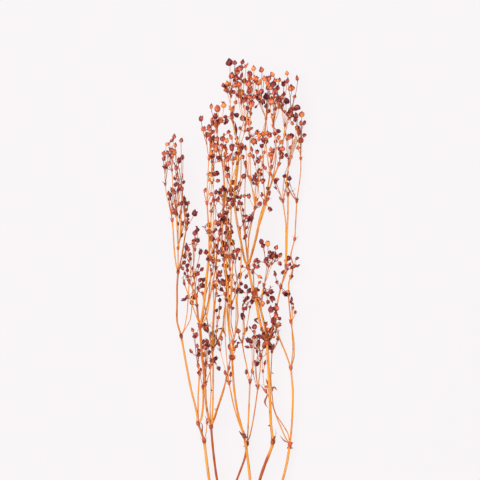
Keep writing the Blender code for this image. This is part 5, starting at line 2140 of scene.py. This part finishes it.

# %% [markdown]
# ## Amber stalks
# Dry stalk skin is glossy amber, with fine fibres along it, paler and redder streaks, and dark red
# towards each joint. Noise over the "grain" gives the streaks, stretched so that it changes fast
# round the stalk and slowly along it. Where the stain mark is high, the whole stretch has dried
# red-brown, and from 0 down to -1 it turns paler. From -1 down to -2 it turns a bright gold, which
# is painted light: it lifts stalks that lie in the shade of the heads above them. A SLOPE holds the
# values between which a change sets in, and a SHARE says how far the change goes.

# %% Stalk finish
GOLD = (0.62, 0.21, 0.018, 1.0)
HONEY = (0.74, 0.31, 0.042, 1.0)
RUST = (0.50, 0.105, 0.018, 1.0)
STAIN = (0.37, 0.060, 0.007, 1.0)
PALE = (0.72, 0.34, 0.15, 1.0)
# Painted light: a bright gold that lifts stalks lying in the shade of the heads above them.
PAINTED_LIGHT_GOLD = (1.0, 0.46, 0.055, 1.0)
MAROON = (0.17, 0.022, 0.016, 1.0)
RED_KNUCKLE = (0.47, 0.078, 0.036, 1.0)
STREAKS = (1.0, 1.0, 0.035)
FIBRES = (1.0, 1.0, 0.012)
FLECKS = (1.0, 1.0, 0.22)
STREAK_SCALE = 1.1
PATCH_SCALE = 0.09
FIBRE_SCALE = 6.0
FLECK_SCALE = 0.7
HONEY_SLOPE = (0.4, 0.7)
RUST_SLOPE = (0.84, 1.2)
STAIN_SLOPE = (0.55, 1.05)
FLECK_SLOPE = (0.6, 0.68)
MAROON_SLOPE = (0.45, 0.7)
JOINT_SLOPE = (0.25, 0.8)
FLECK_SHARE = 0.75
KNUCKLE_SHARE = 0.92
SHEEN = 0.2
FIBRE_RELIEF = 0.35
RELIEF_DEPTH = 0.0003

stalk = Finish("dry_stalk_skin")
grain = stalk.mark("grain")
streaks = stalk.noise(grain, STREAK_SCALE, 3.0, STREAKS)
patches = stalk.noise(grain, PATCH_SCALE)
fibres = stalk.noise(grain, FIBRE_SCALE, stretch=FIBRES)
gold = stalk.mix(stalk.step(streaks, *HONEY_SLOPE), GOLD, HONEY)
rusty = stalk.step(stalk.mark("tone") * 0.3 + patches * 0.5 + streaks * 0.9, *RUST_SLOPE)
skin_colour = stalk.mix(rusty, gold, RUST)
stained = stalk.step(stalk.mark("stain_and_painted_light") + patches * 0.5 + streaks * 0.3, *STAIN_SLOPE)
skin_colour = stalk.mix(stained, skin_colour, STAIN)
skin_colour = stalk.mix(stalk.step(stalk.mark("stain_and_painted_light"), 0.0, -1.0), skin_colour, PALE)
# Painted light: a stain mark from -1 down to -2 turns the stalk bright gold, against shade from heads above.
skin_colour = stalk.mix(stalk.step(stalk.mark("stain_and_painted_light"), -1.0, -2.0), skin_colour, PAINTED_LIGHT_GOLD)
flecks = stalk.step(stalk.noise(grain, FLECK_SCALE, stretch=FLECKS), *FLECK_SLOPE)
skin_colour = stalk.mix(flecks * FLECK_SHARE, skin_colour, MAROON)
blush = stalk.step(stalk.mark("reach") + (streaks - 0.5) * 0.5, *JOINT_SLOPE)
knuckle_colour = stalk.mix(stalk.step(patches, *MAROON_SLOPE), RED_KNUCKLE, MAROON)
skin_colour = stalk.mix(blush * KNUCKLE_SHARE, skin_colour, knuckle_colour)
stalk.plug(stalk.shader, {
    "Base Color": skin_colour,
    "Roughness": 0.4 + blush * 0.2 + fibres * 0.12,
    "Normal": stalk.relief(fibres, FIBRE_RELIEF, RELIEF_DEPTH),
    "Specular IOR Level": SHEEN,
})
print("stalk finish, nodes:", len(stalk.tree.nodes))

# %% [markdown]
# ## Twigs
# The thread-thin twigs are paler and redder than the stalks, and their tiny knuckles are dark red.

# %% Twig finish
TWIG_TAN = (0.58, 0.19, 0.030, 1.0)
TWIG_RUST = (0.34, 0.055, 0.022, 1.0)
TWIG_WINE = (0.15, 0.022, 0.020, 1.0)
TWIG_PATCH_SCALE = 0.25
TWIG_RUST_SLOPE = (0.35, 0.75)
TWIG_WINE_SLOPE = (0.65, 0.9)
TWIG_KNUCKLE_SHARE = 0.85

twig = Finish("dry_twig_skin")
grain = twig.mark("grain")
patches = twig.noise(grain, TWIG_PATCH_SCALE)
shade = twig.mark("tone") * 0.6 + patches * 0.6
thread = twig.mix(twig.step(shade, *TWIG_RUST_SLOPE), TWIG_TAN, TWIG_RUST)
thread = twig.mix(twig.step(shade, *TWIG_WINE_SLOPE), thread, TWIG_WINE)
blush = twig.step(twig.mark("reach") + (patches - 0.5) * 0.4, *JOINT_SLOPE)
twig.plug(twig.shader, {
    "Base Color": twig.mix(blush * TWIG_KNUCKLE_SHARE, thread, RED_KNUCKLE),
    "Roughness": 0.45 + patches * 0.15,
    "Specular IOR Level": SHEEN,
})
print("twig finish, nodes:", len(twig.tree.nodes))

# %% [markdown]
# ## Papery heads
# The heads are dark red-brown, thin and a little glossy. Light gets through the thinner ones, and
# that light is painted into their colour: an orange glow in a band round the belly, broken by noise
# into patches between dark veins, while tips, teeth and insides are painted nearly black-red as
# shade. "tone" sets how dark a head is and how much painted glow it gets.

# %% Head finish
NIGHT_RED = (0.075, 0.010, 0.013, 1.0)
WINE = (0.26, 0.036, 0.034, 1.0)
BRICK = (0.50, 0.098, 0.066, 1.0)
# Painted light: the orange of the glow that stands in for light coming through the thin paper.
PAINTED_GLOW_ORANGE = (0.88, 0.27, 0.055, 1.0)
TONE_AND_PAINTED_GLOW_STOPS = [(0, NIGHT_RED), (0.28, WINE), (0.58, BRICK), (1, PAINTED_GLOW_ORANGE)]
PAINTED_GLOW_SLOPE = (0.0, 1.2)
PAINTED_GLOW_REACH = 0.35
PAINTED_GLOW_BLOTCH_SCALE = 1.3
VEIN_SCALE = 7.0
VEINS = (1.0, 1.0, 0.25)
TIP_PAINTED_SHADE_SLOPE = (0.72, 1.0)
VEIN_SLOPE = (0.5, 0.72)
INSIDE_PAINTED_SHADE_SLOPE = (0.4, 0.9)
TIP_PAINTED_SHADE_SHARE = 0.75
VEIN_SHARE = 0.45
INSIDE_PAINTED_SHADE_SHARE = 0.85
PAPER_RELIEF = 0.5
PAPER_RELIEF_DEPTH = 0.0004
PAPER_SHEEN = 0.15

calyx = Finish("dry_head_skin")
grain = calyx.mark("grain")
reach = calyx.mark("reach")
tone = calyx.mark("tone")
inside = calyx.mark("stain_and_painted_light")
# Painted light: blotches where the orange glow shows, as if light came through; they also make dents.
painted_glow_blotches = calyx.noise(grain, PAINTED_GLOW_BLOTCH_SCALE)
veins = calyx.noise(grain, VEIN_SCALE, stretch=VEINS)
# Painted light: the glow is strongest in a band round the belly and fades towards foot and tip.
belly = (reach - PAINTED_GLOW_REACH) ** 2.0
tone_and_painted_glow = calyx.step(tone * 0.9 + (painted_glow_blotches - 0.5) * 2.0 - belly * 1.6 + 0.25, *PAINTED_GLOW_SLOPE)
papery = calyx.node("ShaderNodeValToRGB", {"stops": TONE_AND_PAINTED_GLOW_STOPS}, {"Fac": tone_and_painted_glow}, "Color")
# Painted shade: the tips and teeth turn dark wine.
papery = calyx.mix(calyx.step(reach, *TIP_PAINTED_SHADE_SLOPE) * TIP_PAINTED_SHADE_SHARE, papery, WINE)
papery = calyx.mix(calyx.step(veins, *VEIN_SLOPE) * VEIN_SHARE, papery, WINE)
# Painted shade: the inner walls of gaping cups, and the capsules inside them, turn nearly black.
papery = calyx.mix(calyx.step(inside, *INSIDE_PAINTED_SHADE_SLOPE) * INSIDE_PAINTED_SHADE_SHARE, papery, NIGHT_RED)
calyx.plug(calyx.shader, {
    "Base Color": papery,
    "Roughness": 0.38 + veins * 0.25,
    "Normal": calyx.relief(veins + painted_glow_blotches * 0.6, PAPER_RELIEF, PAPER_RELIEF_DEPTH),
    "Specular IOR Level": PAPER_SHEEN,
})
print("head finish, nodes:", len(calyx.tree.nodes))

# %% [markdown]
# ## Dry bracts
# Bracts have dried darkest of all at the foot, with browner, thinner tips.

# %% Bract finish
BARK = (0.13, 0.022, 0.017, 1.0)
DRY_LEAF = (0.46, 0.10, 0.036, 1.0)
STRAW = (0.72, 0.47, 0.33, 1.0)
BRACT_VEIN_SCALE = 3.0
BRACT_VEINS = (1.0, 1.0, 0.2)
PALE_SLOPE = (0.45, 1.0)
BRACT_RELIEF = 0.4

bract = Finish("dry_bract_skin")
grain = bract.mark("grain")
veins = bract.noise(grain, BRACT_VEIN_SCALE, stretch=BRACT_VEINS)
pale = bract.step(bract.mark("reach") * 0.3 + bract.mark("tone") * 0.7 + (veins - 0.5) * 0.6, *PALE_SLOPE)
leaf_colour = bract.mix(pale, BARK, DRY_LEAF)
bract.plug(bract.shader, {
    "Base Color": bract.mix(bract.mark("stain_and_painted_light"), leaf_colour, STRAW),
    "Roughness": 0.5 + veins * 0.2,
    "Normal": bract.relief(veins, BRACT_RELIEF, RELIEF_DEPTH),
    "Specular IOR Level": SHEEN,
})
print("bract finish, nodes:", len(bract.tree.nodes))

# %% [markdown]
# ## Stalks that stand out
# Some stretches of stalk have dried dark, and some are painted a bright gold, as light, where the
# heads above them shade them. Some are thicker or thinner than the coarse ones. Each line starts
# with a stain, from foot to end, where -2 is that painted light, or with a width.

# %% Noted stalks
# A stain of -2 is painted light: bright gold for stalks in the heads' shade, e51, e52, b51, b52 and e50's
# end.
STAINS_AND_PAINTED_LIGHT = named("""
0,0 a00 d00 e10 f00 f10 f16 a10 e40
0.7,0.9,0.95 b00
0.9,0.95,0.7 c00
0.5,0.5,0.8,1,0.4,0 e00
0,0,-1,-2 e50
0.4,0.2 b10
0.1,0.3 a40
-2,-2 e51 e52 b51 b52
0.3,0.2 e41
0.3,0.3 e45
0.4,0.45 a02 a11 b20 b40 f12 d14 d15
""")
FITTED = named("""
2.6 a00 d00 e10
2 a10
1.8 a40
2.3 b00
2.2 b10 e50
2.5 b20
2.1 c00 e51
3 e00
1.9 e52 f10
2.4 f00
1.3 f20
0.8 a13 e54
1 a20
0.85 d32
0.5 e22 e23 f15
0.7 f14
1.6 e41
1.4 e45
1.2 e46
1.1 e47
1.7 f16
0.6 b33 b42 b43 b44 c12 d19 d31 e48 e63 f31
""")
print("noted stalks:", len(STAINS_AND_PAINTED_LIGHT), "by stain and", len(FITTED), "by width")

# %% [markdown]
# ## Dressing each spray
# Now every spray gets four skins: stalks, twigs, bracts and heads. Each skin is one object, which
# rides on the stem's only body and stands for the coarse node.

# %% Dress the sprays
STOUTNESS = ((100.0, 200.0, 300.0, 345.0), (1.06, 1.0, 1.0, 0.72))
PALENESS = ((300.0, 345.0), (0.0, 1.0))
JOINT_BRACT_WIDTH = 1.7
JOINT_BRACT_SEAT = 0.75
JOINT_BRACT_FOOT = 1.6
JOINT_BRACT_REACH = (0.7, 1.6)
JOINT_BRACT_BREADTH = 1.6
DARKENING = (0.0, 0.25)
FADING = (0.5, 1.0)
STAR_STALK = 2.8
STAR_PAIRS = 3
THIN_BOW = 0.6
THIN_MIDDLE = (0.35, 0.65)
skins_draw = random.Random(38)


def dress(obj, node):
    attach(obj, "root")
    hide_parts(node)


def weathered(draw, y, width):
    """The width and the stain of a stalk that ends there: thinner and paler towards the tip."""
    stain_and_painted_light = draw.uniform(*DARKENING) - np.interp(y, *PALENESS) * draw.uniform(*FADING)
    return width * np.interp(y, *STOUTNESS), stain_and_painted_light


def dress_spray(name, routes, spray, draw):
    stalks, twigs, bracts, heads = Skin(), Skin(), Skin(), Skin()
    limbs = [spray.foot] + spray.limbs[1:]
    for (route, *_), (points, width) in zip(routes, limbs):
        width, stain_and_painted_light = weathered(draw, points[-1].y, width)
        width = FITTED.get(route, width)
        add_stalk(stalks, draw, points, width, STAINS_AND_PAINTED_LIGHT.get(route, stain_and_painted_light))
        way = points[-1] - points[-2]
        knuckle = knuckle_radius(width / 2)
        for _ in range(STAR_PAIRS if width >= STAR_STALK else 1):
            turn = draw.uniform(0.0, math.pi)
            length = JOINT_BRACT_FOOT + knuckle * draw.uniform(*JOINT_BRACT_REACH)
            breadth = min(JOINT_BRACT_WIDTH, JOINT_BRACT_BREADTH * knuckle)
            add_bract_pair(bracts, draw, points[-1], way, turn, knuckle * JOINT_BRACT_SEAT, length, breadth)
    for leaf in rows_of(LEAVES, name):
        add_leaf(bracts, draw, spray, *leaf[1:])
    for points, width in spray.threads:
        add_stalk(stalks, draw, points, *weathered(draw, points[-1].y, width))
        add_tiny_pair(bracts, draw, *end_of(points), width / 2)
    for fork in spray.thin:
        bow = Vector(draw.gauss(0.0, THIN_BOW) for _ in range(3))
        middle = fork.root.lerp(fork.end, draw.uniform(*THIN_MIDDLE)) + bow
        add_stalk(stalks, draw, [fork.root, middle, fork.end],
                  *weathered(draw, fork.end.y, 2 * fork.stalk_radius))
        add_tiny_pair(bracts, draw, fork.end, fork.end - middle, fork.stalk_radius)
    thin_heads = [head for fork in spray.thin for head in fork.pair]
    for branch in branches(spray.clusters + spray.small) + thin_heads:
        add_twig(twigs, bracts, draw, branch)
    for head in heads_of(spray.clusters + spray.small + spray.thin):
        kind, tone = character(draw, head)
        add_head(heads, draw, nodding(draw, head), kind, tone)
    letter = name[-1]
    dress(stalks.wear(f"stalks_{letter}", stalk.material), name)
    dress(twigs.wear(f"twigs_{letter}", twig.material), name)
    dress(bracts.wear(f"bracts_{letter}", bract.material), name)
    dress(heads.wear(f"heads_{letter}", calyx.material), name)
    print(name, "faces:", [len(skin.faces) for skin in (stalks, twigs, bracts, heads)])


for name in sorted(sprays):
    dress_spray(name, GROWTH_ORDER[name][1], sprays[name], skins_draw)

# %% [markdown]
# ## The main stem
# The lowest piece was cut from the plant, so it ends in a plain square cut. It carries the three
# lowest joints, with the widest bracts.

# %% Dress the main stem
STEM_STAIN = 0.4
STEM_BRACT_TURN = 0.8
STEM_BRACT_SEAT = 0.8
STEM_BRACT_SIZE = (5.0, 2.2)

stem_skin, stem_bracts = Skin(), Skin()
for points, width in stem_limbs:
    add_stalk(stem_skin, skins_draw, points, width, STEM_STAIN)
    add_bract_pair(stem_bracts, skins_draw, *end_of(points), STEM_BRACT_TURN,
                   knuckle_radius(width / 2) * STEM_BRACT_SEAT, *STEM_BRACT_SIZE)
dress(stem_skin.wear("main_stalk", stalk.material), "main_stem")
dress(stem_bracts.wear("main_bracts", bract.material), "main_stem")
print("main stem, faces:", len(stem_skin.faces))
